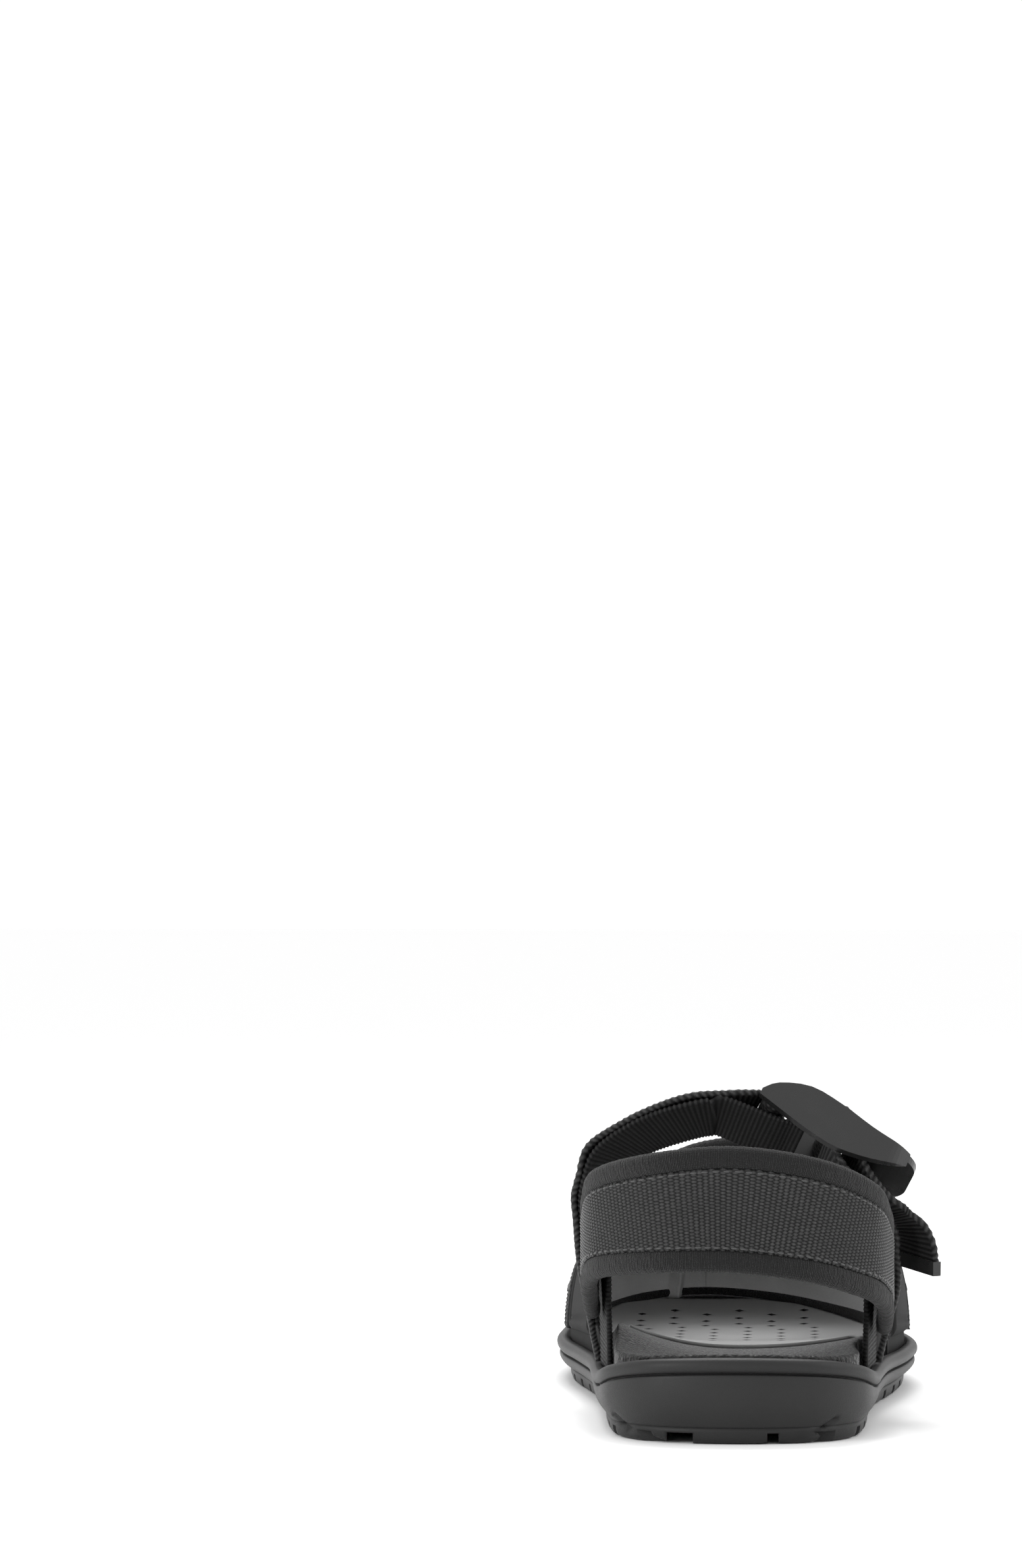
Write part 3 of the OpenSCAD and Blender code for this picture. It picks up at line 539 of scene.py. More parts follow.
def moulded(name, level, roughness):
    """Moulded acetal: fine spark texture, and glossier, lighter wear where hands rub it."""
    m = Nodes(name, roughness, specular=0.5)
    grain = m.noise(4, 2)
    wear = m.range(m.noise(0.16, 5), 0.5, 0.72, 0, 1)
    m.bump(grain, 0.035)
    return m.finish(grey(level * 0.92), grey(level * 1.35), m.math("MULTIPLY_ADD", wear, 0.5, 0.15),
                    m.math("MULTIPLY_ADD", wear, -0.1, m.range(grain, 0.3, 0.7, roughness - 0.03,
                                                               roughness + 0.05)))


def plain(name, level):
    """Matt grey without any pattern."""
    material = bpy.data.materials.new(name)
    material.use_nodes = True
    shader = material.node_tree.nodes["Principled BSDF"]
    shader.inputs["Base Color"].default_value = (level, level, level, 1)
    shader.inputs["Roughness"].default_value = 0.9
    return material


def thread():
    """Bonded thread with a tight twist."""
    m = Nodes("sewing_thread", 0.5, sheen=0.2)
    twist = m.noise(3, 2, stretch=(1, 2.2, 1))
    m.bump(twist, 0.08)
    return m.finish(grey(0.02), grey(0.06), twist)


MIDSOLE = foam_rubber("midsole_foam_rubber", 0.016, 0.5)
OUTSOLE = foam_rubber("outsole_rubber_compound", 0.015, 0.52)
BUMPER = foam_rubber("bumper_rubber_compound", 0.018, 0.55)
FOOTBED = pebbled_foam()
SHEET = perforated_sheet()
NUBUCK = nubuck("nubuck_hide", 0.016)
PANEL = nubuck("panel_hide", 0.013)
LINING = microfibre()
# painted shade: dark knit for the strips inside the foot of the vamp
SHADE_BAND = stretch_knit("shade_strip_knit", 0.02)
KNIT = stretch_knit("binding_knit", 0.017)
PAD = nubuck("pad_cloth", 0.016)
FLOATS = woven("float_webbing", 0.0, 0.055, 0.32, 0.3, 0.0)
WEBBING = woven("coarse_webbing", 0.002, 0.055, 0.45, sheen=0.0)
RIBBED = woven("ribbed_webbing", 0.002, 0.018, 0.55, sheen=0.0)
THREAD = thread()
# near-black matt for the walls of the sheet's holes
DARK_HOLE_WALL = plain("dark_hole_wall", 0.008)
ACETAL = moulded("buckle_acetal", 0.014, 0.34)
BARS = moulded("bar_acetal", 0.02, 0.42)
NYLON = moulded("shank_nylon", 0.16, 0.5)

# ---- weaves ---------------------------------------------------------------------------------


def floats(run, over, side):
    """Yarns that float in staggered columns, 1.4 mm apart and 0.9 mm down the column."""
    column = np.floor(run / 1.4)
    x = run / 1.4 - column - 0.5
    y = (over + 0.45 * (column % 2)) / 0.9
    y = y - np.round(y)
    outer = 0.34 * np.sqrt(np.clip(1 - (x / 0.52) ** 2 - (y / 0.46) ** 2, 0, 1))
    return np.where(side > 0.5, outer, 0.06 * np.cos(2 * math.pi * run / 1.25))


def ribs(run, over, side):
    """Cross ribs 1.25 mm apart on both faces and lumps along both edges."""
    face = 0.14 * np.cos(2 * math.pi * run / 1.25) + 0.05 * np.cos(2 * math.pi * over / 0.9)
    lump = 0.2 * np.cos(2 * math.pi * run / 1.25)
    return np.where(np.abs(side) > 0.9, face, lump)


def basket(run, over, side):
    """Coarse plain weave, 2 mm by 1.3 mm, with looped edges; the inner face is ribbed."""
    row = np.floor(over / 1.3)
    x = (run + (row % 2)) / 2
    x = x - np.round(x)
    y = over / 1.3 - row - 0.5
    outer = 0.3 * np.sqrt(np.clip(1 - (x / 0.5) ** 2 * 0.8 - (y / 0.5) ** 2 * 0.7, 0, 1))
    selvedge = 0.14 + 0.14 * np.cos(2 * math.pi * (run / 1.6 + 0.3 * side))
    return np.select([side > 0.9, side < -0.9], [outer, 0.1 + 0.14 * np.cos(2 * math.pi * run / 1.25)],
                     selvedge)


def knit(run, over, side):
    """Soft unevenness of a folded knit edge."""
    return 0.05 * np.sin(run * 14.28) + 0.06 * np.sin(run * 2.9 + over) * np.sin(run * 1.3)


# ---- sole -----------------------------------------------------------------------------------


def arcs(p):
    """Depth of the two curved lug grooves at the back of the heel, from a wall point."""
    x, z = p[:, 0] + CENTRE_X, p[:, 2]
    back = drawn_y(p) < 34
    inner = np.interp(x, (-33, -29, -24, -19), (6.4, 3.2, 1.5, 0.4))
    outer = np.interp(x, (8, 16, 22, 27), (0.4, 1.4, 3.2, 6.4))
    reach = bell(z, inner, 0.55) * ((x > -33.5) & (x < -17))
    reach = reach + bell(z, outer, 0.55) * ((x > 8) & (x < 27.5))
    return reach * back


def wall(inset, height):
    ring = sole_ring(inset, height)
    return ring - outward(RING_S) * (1.1 * arcs(ring))[:, None]


def build_midsole():
    taper, joint, bead = foot_taper(RING_Y), BOTTOM + spring_z(RING_Y), rim_z(RING_Y)
    groove = bead - BEAD_H
    rings = [inner_ring(taper, 0.4, lambda p: BOTTOM + spring_z(drawn_y(p)))]
    for f in np.linspace(0, 1, 26):
        swell = 0.35 * math.sin(math.pi * f)
        rings.append(wall(0.9 + (taper - 0.9) * (1 - f) ** 2.2 - swell, mix(joint, groove - 0.55, f)))
    rings.append(sole_ring(1.15, groove - 0.38))
    rings.append(sole_ring(2.1, groove - 0.28))
    rings.append(sole_ring(2.3, groove))
    rings.append(sole_ring(1.7, groove + 0.22))
    for turn in np.linspace(-70, 100, 14):
        a = math.radians(turn)
        rings.append(sole_ring(1.75 - 1.75 * math.cos(a), bead - BEAD_H / 2 + 1.95 * math.sin(a)))
    rings.append(sole_ring(3.0, bead - 0.1))
    rings.append(sole_ring(3.5, seat_z))
    rings.append(inner_ring(3.6, 0.3, seat_z))
    rings.append(inner_ring(3.6, 0.85, seat_z))
    stack("midsole_shape", rings, ROOT, MIDSOLE, ["midsole"])


def cut(piece, cutters, wall_finish=None):
    """Takes the cutters' solids out of a piece; the cut faces may get a material of their own."""
    bpy.ops.object.select_all(action="DESELECT")
    for cutter in cutters:
        cutter.select_set(True)
    bpy.context.view_layer.objects.active = cutters[0]
    bpy.ops.object.join()
    modifier = piece.modifiers.new("cut", "BOOLEAN")
    modifier.object = cutters[0]
    modifier.solver = "EXACT"
    modifier.use_self = True
    if wall_finish:
        cutters[0].data.materials.append(wall_finish)
        modifier.material_mode = "TRANSFER"
    bpy.context.view_layer.objects.active = piece
    bpy.ops.object.modifier_apply(modifier="cut")
    bpy.data.objects.remove(cutters[0])


def prism(outline, low, high, flare=0.0):
    """Cutter: an outline in the frame's plan, drawn straight up and wider towards the floor."""
    outline = np.asarray(outline, float)
    middle = outline.mean(0)
    lower = outline + unit(outline - middle) * flare
    n = len(outline)
    points = [[*p, low] for p in lower] + [[*p, high] for p in outline]
    faces = [list(range(n))[::-1], list(range(n, 2 * n))]
    faces += [[k, (k + 1) % n, n + (k + 1) % n, n + k] for k in range(n)]
    mesh = bpy.data.meshes.new("cutter")
    mesh.from_pydata((np.array(points) / MM).tolist(), [], faces)
    made = bpy.data.objects.new("cutter", mesh)
    bpy.context.scene.collection.objects.link(made)
    return made


def plan(points):
    return [at(x, y, 0)[:2] for x, y in points]


def chevron(y, width, dip):
    return plan([(-70, y), (0, y - dip), (70, y), (70, y + width), (0, y - dip + width),
                 (-70, y + width)])


def build_outsole():
    taper, lift = foot_taper(RING_Y), spring_z(RING_Y)
    rings = []
    for inset, height in ((2.4, 0), (1.3, 0.25), (0.6, 0.8), (0.25, 1.8)):
        rings.append(wall(taper + inset, height + lift))
    rings.append(wall(taper + 0.05, 3.3 + lift))
    rings.append(wall(taper, BOTTOM - 0.02 + lift))
    piece = stack("outsole_shape", rings, ROOT, OUTSOLE, ["outsole"])
    cutters = [prism(chevron(y, 3.2, 9), -1, TREAD, 0.2) for y in range(16, 69, 13)]
    cutters += [prism(chevron(132 + 15.5 * k, 3.4, 12), -1, TREAD) for k in range(9)]
    cutters.append(prism(chevron(82, 34, 6), -1, TREAD))
    for x, wide, y0, y1 in ((-15, 7, -5, 74), (10, 3, -5, 74), (-23, 3.4, 122, 250), (12, 3.4, 122, 250)):
        cutters.append(prism(plan([(x - wide / 2, y0), (x + wide / 2, y0), (x + wide / 2, y1),
                                   (x - wide / 2, y1)]), -1, TREAD, 0.9))
    cut(piece, cutters)


def build_footbed():
    inset, low = footbed_inset(RING_Y), lambda p: seat_z(p) + 0.1
    rings = [inner_ring(inset, f, low) for f in (0.9, 0.4)] + [sole_ring(inset, low)]
    for f in (0.2, 0.4, 0.6, 0.8, 1):
        rings.append(sole_ring(inset, lambda p: mix(low(p), foot_z(p) - 1.3, f)))
    for turn in range(15, 91, 15):
        a = math.radians(turn)
        rings.append(sole_ring(inset + 1.6 * (1 - math.cos(a)),
                               lambda p: foot_z(p) - 1.3 * (1 - math.sin(a))))
    for f in (0.02, 0.05, 0.09, 0.14, 0.2, 0.3, 0.42, 0.55, 0.7, 0.85, 0.93):
        rings.append(inner_ring(inset + 1.6, f, foot_z))
    stack("footbed_shape", rings, ROOT, FOOTBED, ["footbed"])


def sheet_grid(rows, cols, lift):
    """Points of the forefoot sheet, which starts in a curve under the arch."""
    r, c = np.meshgrid(np.linspace(0, 1, rows), np.linspace(-1, 1, cols), indexing="ij")
    y = mix(104, 272, r)
    half = half_width(y) - 11.5 - 6 * smooth(y, 262, 272)
    p = at(middle_x(y) + c * half, y - 7 * (1 - c * c) * (1 - r) ** 2, 0)
    p[..., 2] = foot_z(p) + lift
    return p


def build_sheet():
    rows, cols = 110, 56
    top, low = sheet_grid(rows, cols, 0.95), sheet_grid(rows, cols, -0.05)
    loop = np.concatenate([top, low[:, ::-1]], 1)
    m = 2 * cols
    faces = grid_faces(rows, m, wrap_cols=True, flip=True)
    for row, flip in ((0, False), (rows - 1, True)):
        for j in range(cols - 1):
            quad = [row * m + j, row * m + j + 1, row * m + m - 2 - j, row * m + m - 1 - j]
            faces.append(quad[::-1] if flip else quad)
    piece = make("footbed_sheet_shape", loop.reshape(-1, 3), faces, ROOT, SHEET,
                 ["footbed_sheet"])
    cutters = []
    for col in range(-3, 3):
        for row in range(8):
            x = col * 9.9 + 2 - (3 if row > 4 else 0)
            y = 136 + row * 15.5 + (col + 3) % 2 * 7.7
            cutters.append(prism(plan([(x - 1.5, y), (x, y - 2.25), (x + 1.5, y), (x, y + 2.25)]), 5, 40))
    # the walls of the holes get a near-black matt material
    cut(piece, cutters, DARK_HOLE_WALL)


# ---- vamp -----------------------------------------------------------------------------------

VAMP_START, THROAT_Y, THROAT_Z = 130, 158, 73.5
VAMP_T, LINING_T = 1.4, 1
VAMP_TOTAL = VAMP_T + LINING_T + 0.1
ON_VAMP = VAMP_TOTAL + 0.1


def vamp_face(s, v):
    """Inner face of the vamp: s along the outline, v = 0 at the rim and 1 at the ridge."""
    foot, y = rim(s, np.full_like(s, 3.9 + VAMP_TOTAL)), drawn_y(edge(s))
    reach = np.clip(y - VAMP_START, 0, 2 * HALF_L - VAMP_START) / (2 * HALF_L - VAMP_START)
    yr = THROAT_Y + 82 * np.sin(math.pi / 2 * reach ** 1.15)
    top = at(value(yr, [(158, 8), (180, 3), (205, -4), (240, -13)]), yr,
             value(yr, [(158, THROAT_Z), (180, THROAT_Z - 9), (205, THROAT_Z - 20),
                        (240, THROAT_Z - 34)]) - VAMP_TOTAL)
    turn = np.clip(v, 0, 1) * math.pi / 2
    over = 1 - np.cos(turn) ** 0.65
    back = mix(np.sin(turn) ** 2, over, np.clip((y - 170) / 80, 0, 1))
    return np.stack([mix(foot[..., 0], top[..., 0], over), mix(foot[..., 1], top[..., 1], back),
                     mix(rim_z(y) - 0.9, top[..., 2], np.sin(turn) ** 0.8)], -1)


def vamp_point(s, v, lift):
    s, v = np.broadcast_arrays(np.asarray(s, float), np.asarray(v, float))
    du = vamp_face(s + 0.04, v) - vamp_face(s - 0.04, v)
    dv = vamp_face(s, np.minimum(v + 0.03, 1)) - vamp_face(s, np.maximum(v - 0.03, 0))
    ridge = smooth(v, 0.8, 1)[..., None]
    normal = unit(mix(unit(np.cross(du, dv)), unit([0, 0.35, 1]), ridge))
    return vamp_face(s, v) + normal * np.asarray(lift)[..., None]


def shell(name, outer, inner, body, finish, replaced=(), relief=None, place=None):
    """Closed thin piece between two grids of points."""
    rows, cols = outer.shape[:2]
    loop = np.concatenate([outer, inner[:, ::-1]], 1)
    m = 2 * cols
    faces = grid_faces(rows, m, wrap_cols=True)
    for row in (0, rows - 1):
        faces += [[row * m + j, row * m + j + 1, row * m + m - 2 - j, row * m + m - 1 - j]
                  for j in range(cols - 1)]
    if relief is not None:
        relief = np.concatenate([relief, relief[:, ::-1]], 1)
        place = np.concatenate([place, place[:, ::-1]], 1).reshape(-1, 3)
    return make(name, loop.reshape(-1, 3), faces, body, finish, replaced, relief, place)


def vamp_grid(stations, arc):
    """Places s and v over the whole vamp, from the outer rim across the ridge to the inner rim."""
    y = mix(VAMP_START, 2 * HALF_L, np.sin(np.linspace(0, math.pi / 2, stations)))
    v = np.linspace(0, 1, arc)
    s = np.concatenate([np.repeat(side_s(y, 1)[:, None], arc, 1),
                        np.repeat(side_s(y, -1)[:, None], arc - 1, 1)], 1)
    s[-1] = TOE
    return s, np.broadcast_to(np.concatenate([v, v[-2::-1]]), s.shape)


def build_vamp():
    s, v = vamp_grid(110, 34)
    outer = vamp_point(s, v, VAMP_TOTAL)
    shell("vamp_shape", outer, vamp_point(s, v, LINING_T + 0.1), ROOT, NUBUCK,
          ["vamp_shell"])
    s, v = vamp_grid(220, 44)
    inner = vamp_point(s, v, 0)
    x, z = inner[..., 0] + CENTRE_X, inner[..., 2]
    inner_side = np.arange(s.shape[1])[None] >= 44
    tent = np.clip(1 - np.abs(x + 21 - 0.12 * (z - 22)) / 2.4, 0, 1) ** 0.8
    tent = tent * smooth(z, 12, 16) * smooth(z, 36, 25) * smooth(drawn_y(inner), 230, 250) * inner_side
    soft = 0.35 * np.sin(x * 0.21 + 1) * np.sin(z * 0.16) * smooth(z, 14, 30)
    lining = vamp_point(s, v, -4.2 * tent - soft)
    shell("lining_shape", vamp_point(s, v, LINING_T), lining, ROOT, LINING,
          ["vamp_lining"])
    ends = vamp_grid(160, 2)[0]
    # painted shade: dark knit strips along the inside foot of the vamp stand in for the shade between the
    # forefoot sheet and the lining
    for name, column in (("shade_strip_outer", 0), ("shade_strip_inner", -1)):
        s = np.repeat(ends[:, column][:, None], 7, 1)
        v = np.broadcast_to(np.linspace(0.004, 0.052, 7), s.shape)
        bulge = 0.7 + 0.5 * np.sin(math.pi * np.linspace(0, 1, 7))
        shell(name, vamp_point(s, v, np.full(s.shape, 0.1)), vamp_point(s, v, -bulge + 0 * v), ROOT,
              SHADE_BAND, (), np.ones(s.shape), np.stack([s * 25, v * 90, 0 * s], -1))


def on_vamp(name, s, v, thick, finish, replaced=(), relief=None, place=None):
    outer = vamp_point(s, v, ON_VAMP + thick)
    return shell(name, outer, vamp_point(s, v, np.full(s.shape, ON_VAMP)), ROOT, finish,
                 replaced, relief, place)


def cushion_edge(a, b, long_a, long_b):
    """Thickness from 0 to 1 of a padded panel: a rolled rim and a sewn groove inside it."""
    gap = np.minimum(np.minimum(a, 1 - a) * long_a, np.minimum(b, 1 - b) * long_b)
    roll = 0.12 + 0.88 * np.clip(gap / 1.6, 0, 1) ** 0.5
    return roll - 0.3 * bell(gap, 4.2, 0.8) + 0.16 * bell(gap, 2.2, 1.1)


def build_panels():
    for side, name in ((1, "panel_lateral"), (-1, "panel_medial")):
        ends = side_s(np.array([VAMP_START + 4.0, 176.0]), side)
        a, b = np.meshgrid(np.linspace(0, 1, 90), np.linspace(0, 1, 90), indexing="ij")
        s = mix(ends[0], ends[1], a)
        v = mix(0.03, mix(0.62, 0.46, a), b)
        on_vamp(f"{name}_shape", s, v, 1.5 * cushion_edge(a, b, 44, 55), PANEL, [name])
        rows = []
        for k in np.linspace(0.02, 0.98, 34):
            rows.append((mix(ends[0], ends[1], 1 - 4.2 / 44), mix(0.03, 0.47, k)))
            rows.append((mix(ends[0], ends[1], k), mix(0.03, mix(0.62, 0.46, k), 1 - 4.2 / 55)))
        s, v = np.array(rows).T
        spots = vamp_point(s, v, ON_VAMP + 1.0)
        along_v = np.arange(len(rows)) % 2 == 0
        ahead = vamp_point(np.where(along_v, s, s + 0.02), np.where(along_v, v + 0.01, v), ON_VAMP + 1.0)
        out = vamp_point(s, v, ON_VAMP + 2.0) - spots
        beads(f"{name}_stitches", spots, ahead - spots, out, (0.62, 0.24, 0.24), ROOT)


def build_bumper():
    ends = side_s(np.array([222.0]), 1)[0], side_s(np.array([222.0]), -1)[0]
    a, b = np.meshgrid(np.linspace(0, 1, 150), np.linspace(0, 1, 26), indexing="ij")
    s, v = mix(ends[0], ends[1], a), mix(0.03, 0.1 + 0.3 * np.sin(math.pi * a), b)
    gap = np.minimum(np.minimum(a, 1 - a) * 120, np.minimum(b, 1 - b) * 90 * (v.max(1) - 0.03)[:, None])
    on_vamp("toe_bumper_shape", s, v, 2 * np.clip(0.1 + gap / 2.2, 0, 1) ** 0.5,
            BUMPER, ["toe_bumper"])


def build_forefoot_webbing():
    cols = 60
    up = np.linspace(-1, 1, 420)
    v = 1 - np.abs(up) * 0.97
    y = np.linspace(180, 204, cols)
    s = np.where(up[:, None] < 0, side_s(y, 1)[None], side_s(y, -1)[None])
    v = np.repeat(v[:, None], cols, 1)
    middle = vamp_point(s[:, cols // 2], v[:, cols // 2], ON_VAMP)
    run = np.concatenate([[0], np.cumsum(np.linalg.norm(np.diff(middle, axis=0), axis=1))])[:, None]
    over = np.broadcast_to(y - 192, s.shape)
    raised = ribs(run + 0 * over, over, 1.0)
    rounding = np.clip((12.4 - np.abs(over)) / 0.8, 0.1, 1) ** 0.5
    on_vamp("forefoot_webbing_shape", s, v, 1.6 * rounding + raised, RIBBED,
            ["forefoot_webbing"], (raised - raised.min()) / np.ptp(raised),
            np.stack([run + 0 * over, over, 1 + 0 * over], -1))
    for side in (1, -1):
        y = np.linspace(182, 202, 26)
        s, v = side_s(y, side), 0.17 + 0.012 * (np.arange(26) % 2)
        spots = vamp_point(s, v, ON_VAMP + 1.75)
        ahead = vamp_point(s, v + 0.02, ON_VAMP + 1.75) - spots
        out = vamp_point(s, v, ON_VAMP + 3) - spots
        name = "outer" if side > 0 else "inner"
        beads(f"forefoot_bartack_{name}", spots, ahead, out, (0.9, 0.27, 0.25), ROOT,
              ["forefoot_bartacks"] if side > 0 else ())


def build_throat_binding():
    v = 1 - np.abs(np.linspace(-1, 1, 29)) * 0.97
    places = side_s(np.full(29, float(VAMP_START)), 1), side_s(np.full(29, float(VAMP_START)), -1)
    s = np.where(np.arange(29) < 14, places[0], places[1])
    path = vamp_point(s, v, np.full(29, VAMP_TOTAL / 2)) + np.array([0, -2.4, 0])
    strip("throat_binding", path, [[0, 1, 0], [0, 1, 0]], lambda f: 2.3 + 0 * f,
          lambda f: -2.1 + 0 * f, lambda f: 4.2 + 0 * f, knit, ROOT, KNIT,
          ["vamp_binding"], step=0.35, cell=0.6, edge_cells=7)


def beads(name, spots, heads, outs, size, body, replaced=()):
    """Row of stitches: one small rounded bar at each spot, size is half of its three sides."""
    heads, outs = unit(heads), unit(outs)
    sides = unit(np.cross(heads, outs))
    outs = np.cross(sides, heads)
    turn, ring = np.meshgrid(np.linspace(0, 2 * math.pi, 9)[:-1], np.linspace(0, math.pi, 7)[1:-1])
    ball = np.stack([np.cos(ring), np.sin(ring) * np.cos(turn), np.sin(ring) * np.sin(turn)], -1)
    ball = np.concatenate([ball.reshape(-1, 3), [[1, 0, 0], [-1, 0, 0]]]) * np.array(size)
    each = grid_faces(5, 8, wrap_cols=True)
    each += [[(j + 1) % 8, j, 40] for j in range(8)] + [[32 + j, 32 + (j + 1) % 8, 41] for j in range(8)]
    points, faces = [], []
    for k, (p, h, w, o) in enumerate(zip(spots, heads, sides, outs)):
        points.append(p + ball @ np.stack([h, w, o]))
        faces += [[i + k * len(ball) for i in f] for f in each]
    return make(name, np.concatenate(points), faces, body, THREAD, replaced)


# ---- heel strap -----------------------------------------------------------------------------

HEEL_PATH = at(*np.array([
    (-39.4, 81, 37), (-39.8, 64, 44.5), (-39.4, 46, 51.5), (-35.5, 24, 58), (-20.5, 8.3, 61.8),
    (0, 4.8, 63), (20.5, 8.3, 59.8), (34.5, 22, 53.5), (39, 41, 47), (39.9, 60, 40.5),
    (39.6, 81, 33)]).T)
UP = [[0, 0, 1], [0, 0, 1]]


def heel_half(f):
    return HEEL_STRAP_W / 2 * value(f, [
        (0, 0.6), (0.1, 0.7), (0.22, 0.8), (0.36, 0.92), (0.5, 1), (0.64, 0.95), (0.78, 0.85),
        (0.9, 0.72), (1, 0.6)])


def heel_frame(step):
    path, share, run = even(HEEL_PATH, step)
    heads = unit(np.gradient(path, axis=0))
    up = unit(np.array([0, 0, 1]) - heads * heads[:, 2:])
    return path, share, run, heads, up, np.cross(heads, up)


def build_heel_strap():
    level = lambda z: (lambda f: z + 0 * f)
    strip("heel_webbing_shape", HEEL_PATH, UP, lambda f: heel_half(f) - BINDING_W + 0.5, level(1.6),
          level(1.5), floats, HEEL, FLOATS, ["heel_webbing"], step=0.28, cell=0.24,
          edge_cells=3)
    pad = strip("heel_pad_shape", HEEL_PATH, UP, lambda f: heel_half(f) - 1.8, level(-0.1),
                level(1.9), lambda u, v, side: 0.35 * (1 - (v / 17) ** 2) * (side < 0), HEEL,
                PAD, ["heel_pad"], step=1.2, cell=1.2)
    for side, name in ((1, "top"), (-1, "bottom")):
        path, share, _, _, up, _ = heel_frame(1.5)
        middle = path + up * (side * (heel_half(share) - BINDING_W / 2))[:, None]
        strip(f"heel_binding_{name}_shape", middle, up, level(BINDING_W / 2), level(-1.0),
              level(4.3), knit, HEEL, KNIT, [f"heel_binding_{name}"], step=0.3,
              cell=0.5, edge_cells=8)
        path, share, _, heads, up, out = heel_frame(2.6)
        spots = path + up * (side * (heel_half(share) - BINDING_W - 0.35))[:, None] + out * 3.2
        beads(f"heel_stitches_{name}", spots[2:-2], heads[2:-2], out[2:-2], (0.95, 0.27, 0.3), HEEL)
    path, _, _, heads, up, out = heel_frame(1.0)
    spots, ways, fronts = [], [], []
    for k in (6, 9, len(path) - 10, len(path) - 7):
        for j, z in enumerate(np.linspace(-5, 5, 15)):
            spots.append(path[k] + up[k] * z + out[k] * 3.35)
            ways.append(heads[k] + up[k] * (0.35 if j % 2 else -0.35))
            fronts.append(out[k])
    beads("heel_bartacks_shape", spots, ways, np.array(fronts), (1.3, 0.28, 0.28), HEEL,
          ["heel_bartacks"])


def build_heel_anchors():
    """Webbing beside the footbed."""
    for x, top, name in ((-36.8, 45, "heel_anchor_medial"), (36.8, 40, "heel_anchor_lateral")):
        path = at(*np.array([(x * 0.995, 78, rim_z(np.array(78.0)) - 0.7), (x, 77.5, 24),
                             (x * 1.005, 76.5, 33), (x * 1.005, 75.5, top)]).T)
        piece = strip(f"{name}_shape", path, [[math.copysign(0.12, x), 1, 0]] * 2, lambda f: 11 + 0 * f,
                      lambda f: -0.8 + 0 * f, lambda f: 1.6 + 0 * f, ribs, None,
                      RIBBED, [name])
        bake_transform(piece)


# ---- instep strap and buckle ------------------------------------------------------------------

PITCH, DROP = math.radians(28), math.radians(23)
BUCKLE_PLACE = at(6.2, 92.5, 83.8)
HINGE = (2.5, 1)
LOOP_BAR = (21, 3.5)


def turned(v):
    x, y, z = v
    y, z = y * math.cos(PITCH) + z * math.sin(PITCH), z * math.cos(PITCH) - y * math.sin(PITCH)
    return np.array([x * math.cos(DROP) + z * math.sin(DROP), y, z * math.cos(DROP) - x * math.sin(DROP)])


def buckle_at(x, z):
    return BUCKLE_PLACE + turned((x, 0, z))


STRAP_REF = np.array([0, math.cos(PITCH), -math.sin(PITCH)])
BUCKLE_REF = turned((0, 1, 0))
INSTEP = list(at(*np.array([
    (-38.2, 108, 12.6), (-40.8, 107, 24), (-43.8, 102, 42), (-43.8, 98, 56), (-41.4, 96, 65),
    (-36.6, 94.6, 72.2), (-26, 92.4, 78.9), (-13, 90.8, 83.2), (-3, 91, 84.6)]).T))
INSTEP.append(buckle_at(HINGE[0] - BAR_R - WEB_T - 0.6, HINGE[1] - WEB_T / 2))
INSTEP_STEPS = 30
instep_path = curve(INSTEP, INSTEP_STEPS)
instep_ref = np.concatenate([
    unit([mix(np.array([0, 1, 0]), STRAP_REF, t) for t in np.linspace(0, 1, 15)]),
    unit([mix(STRAP_REF, BUCKLE_REF, t) for t in np.linspace(0, 1, 16)])])


def flat(z):
    return lambda f: z + 0 * f


def build_instep_strap():
    """Two layers of webbing; the outer one stands off the inner one in soft waves."""
    waves = lambda f: 0.9 * bell(f, 0.55, 0.05) + 0.7 * bell(f, 0.78, 0.06) + 0.4 * bell(f, 0.4, 0.04)
    strip("instep_webbing_shape", instep_path, instep_ref, flat(STRAP_W / 2), waves, flat(WEB_T),
          basket, ROOT, WEBBING, ["instep_webbing"], step=0.33, cell=0.33)
    last = INSTEP_STEPS - 3
    path = list(instep_path[4:last])
    path += [buckle_at(x, HINGE[1] - z) for x, z in ((0, 4.9), (4.5, 4.8), (9, 4.2), (13, 4.6))]
    refs = list(instep_ref[4:last]) + [BUCKLE_REF] * 4
    strip("instep_underlay_shape", path, refs, flat(STRAP_W / 2), flat(-WEB_T - 0.1), flat(WEB_T),
          ribs, ROOT, RIBBED, ["instep_underlay"], step=0.33, cell=0.4)


def build_loops():
    for name, bar, body in (("instep_loop", HINGE, ROOT), ("strap_loop", LOOP_BAR, BUCKLE)):
        r = BAR_R + 0.1 + WEB_T / 2
        path = [buckle_at(bar[0] + r * math.cos(a), bar[1] - r * math.sin(a))
                for a in np.linspace(0, 2 * math.pi, 25)]
        strip(f"{name}_shape", path, [BUCKLE_REF] * 2, flat(STRAP_W / 2), flat(-WEB_T / 2),
              flat(WEB_T), basket, body, WEBBING, [name], step=0.33, cell=0.33,
              closed=True)


ANCHOR = list(at(*np.array([(38.2, 108, 12.6), (40.4, 106, 25), (41, 101, 37), (37.8, 94.5, 49),
                            (32.2, 89, 57.4)]).T))
ANCHOR += [buckle_at(LOOP_BAR[0] + 3.4, LOOP_BAR[1] - 12.4), buckle_at(LOOP_BAR[0] - 1.6, LOOP_BAR[1] - 7)]


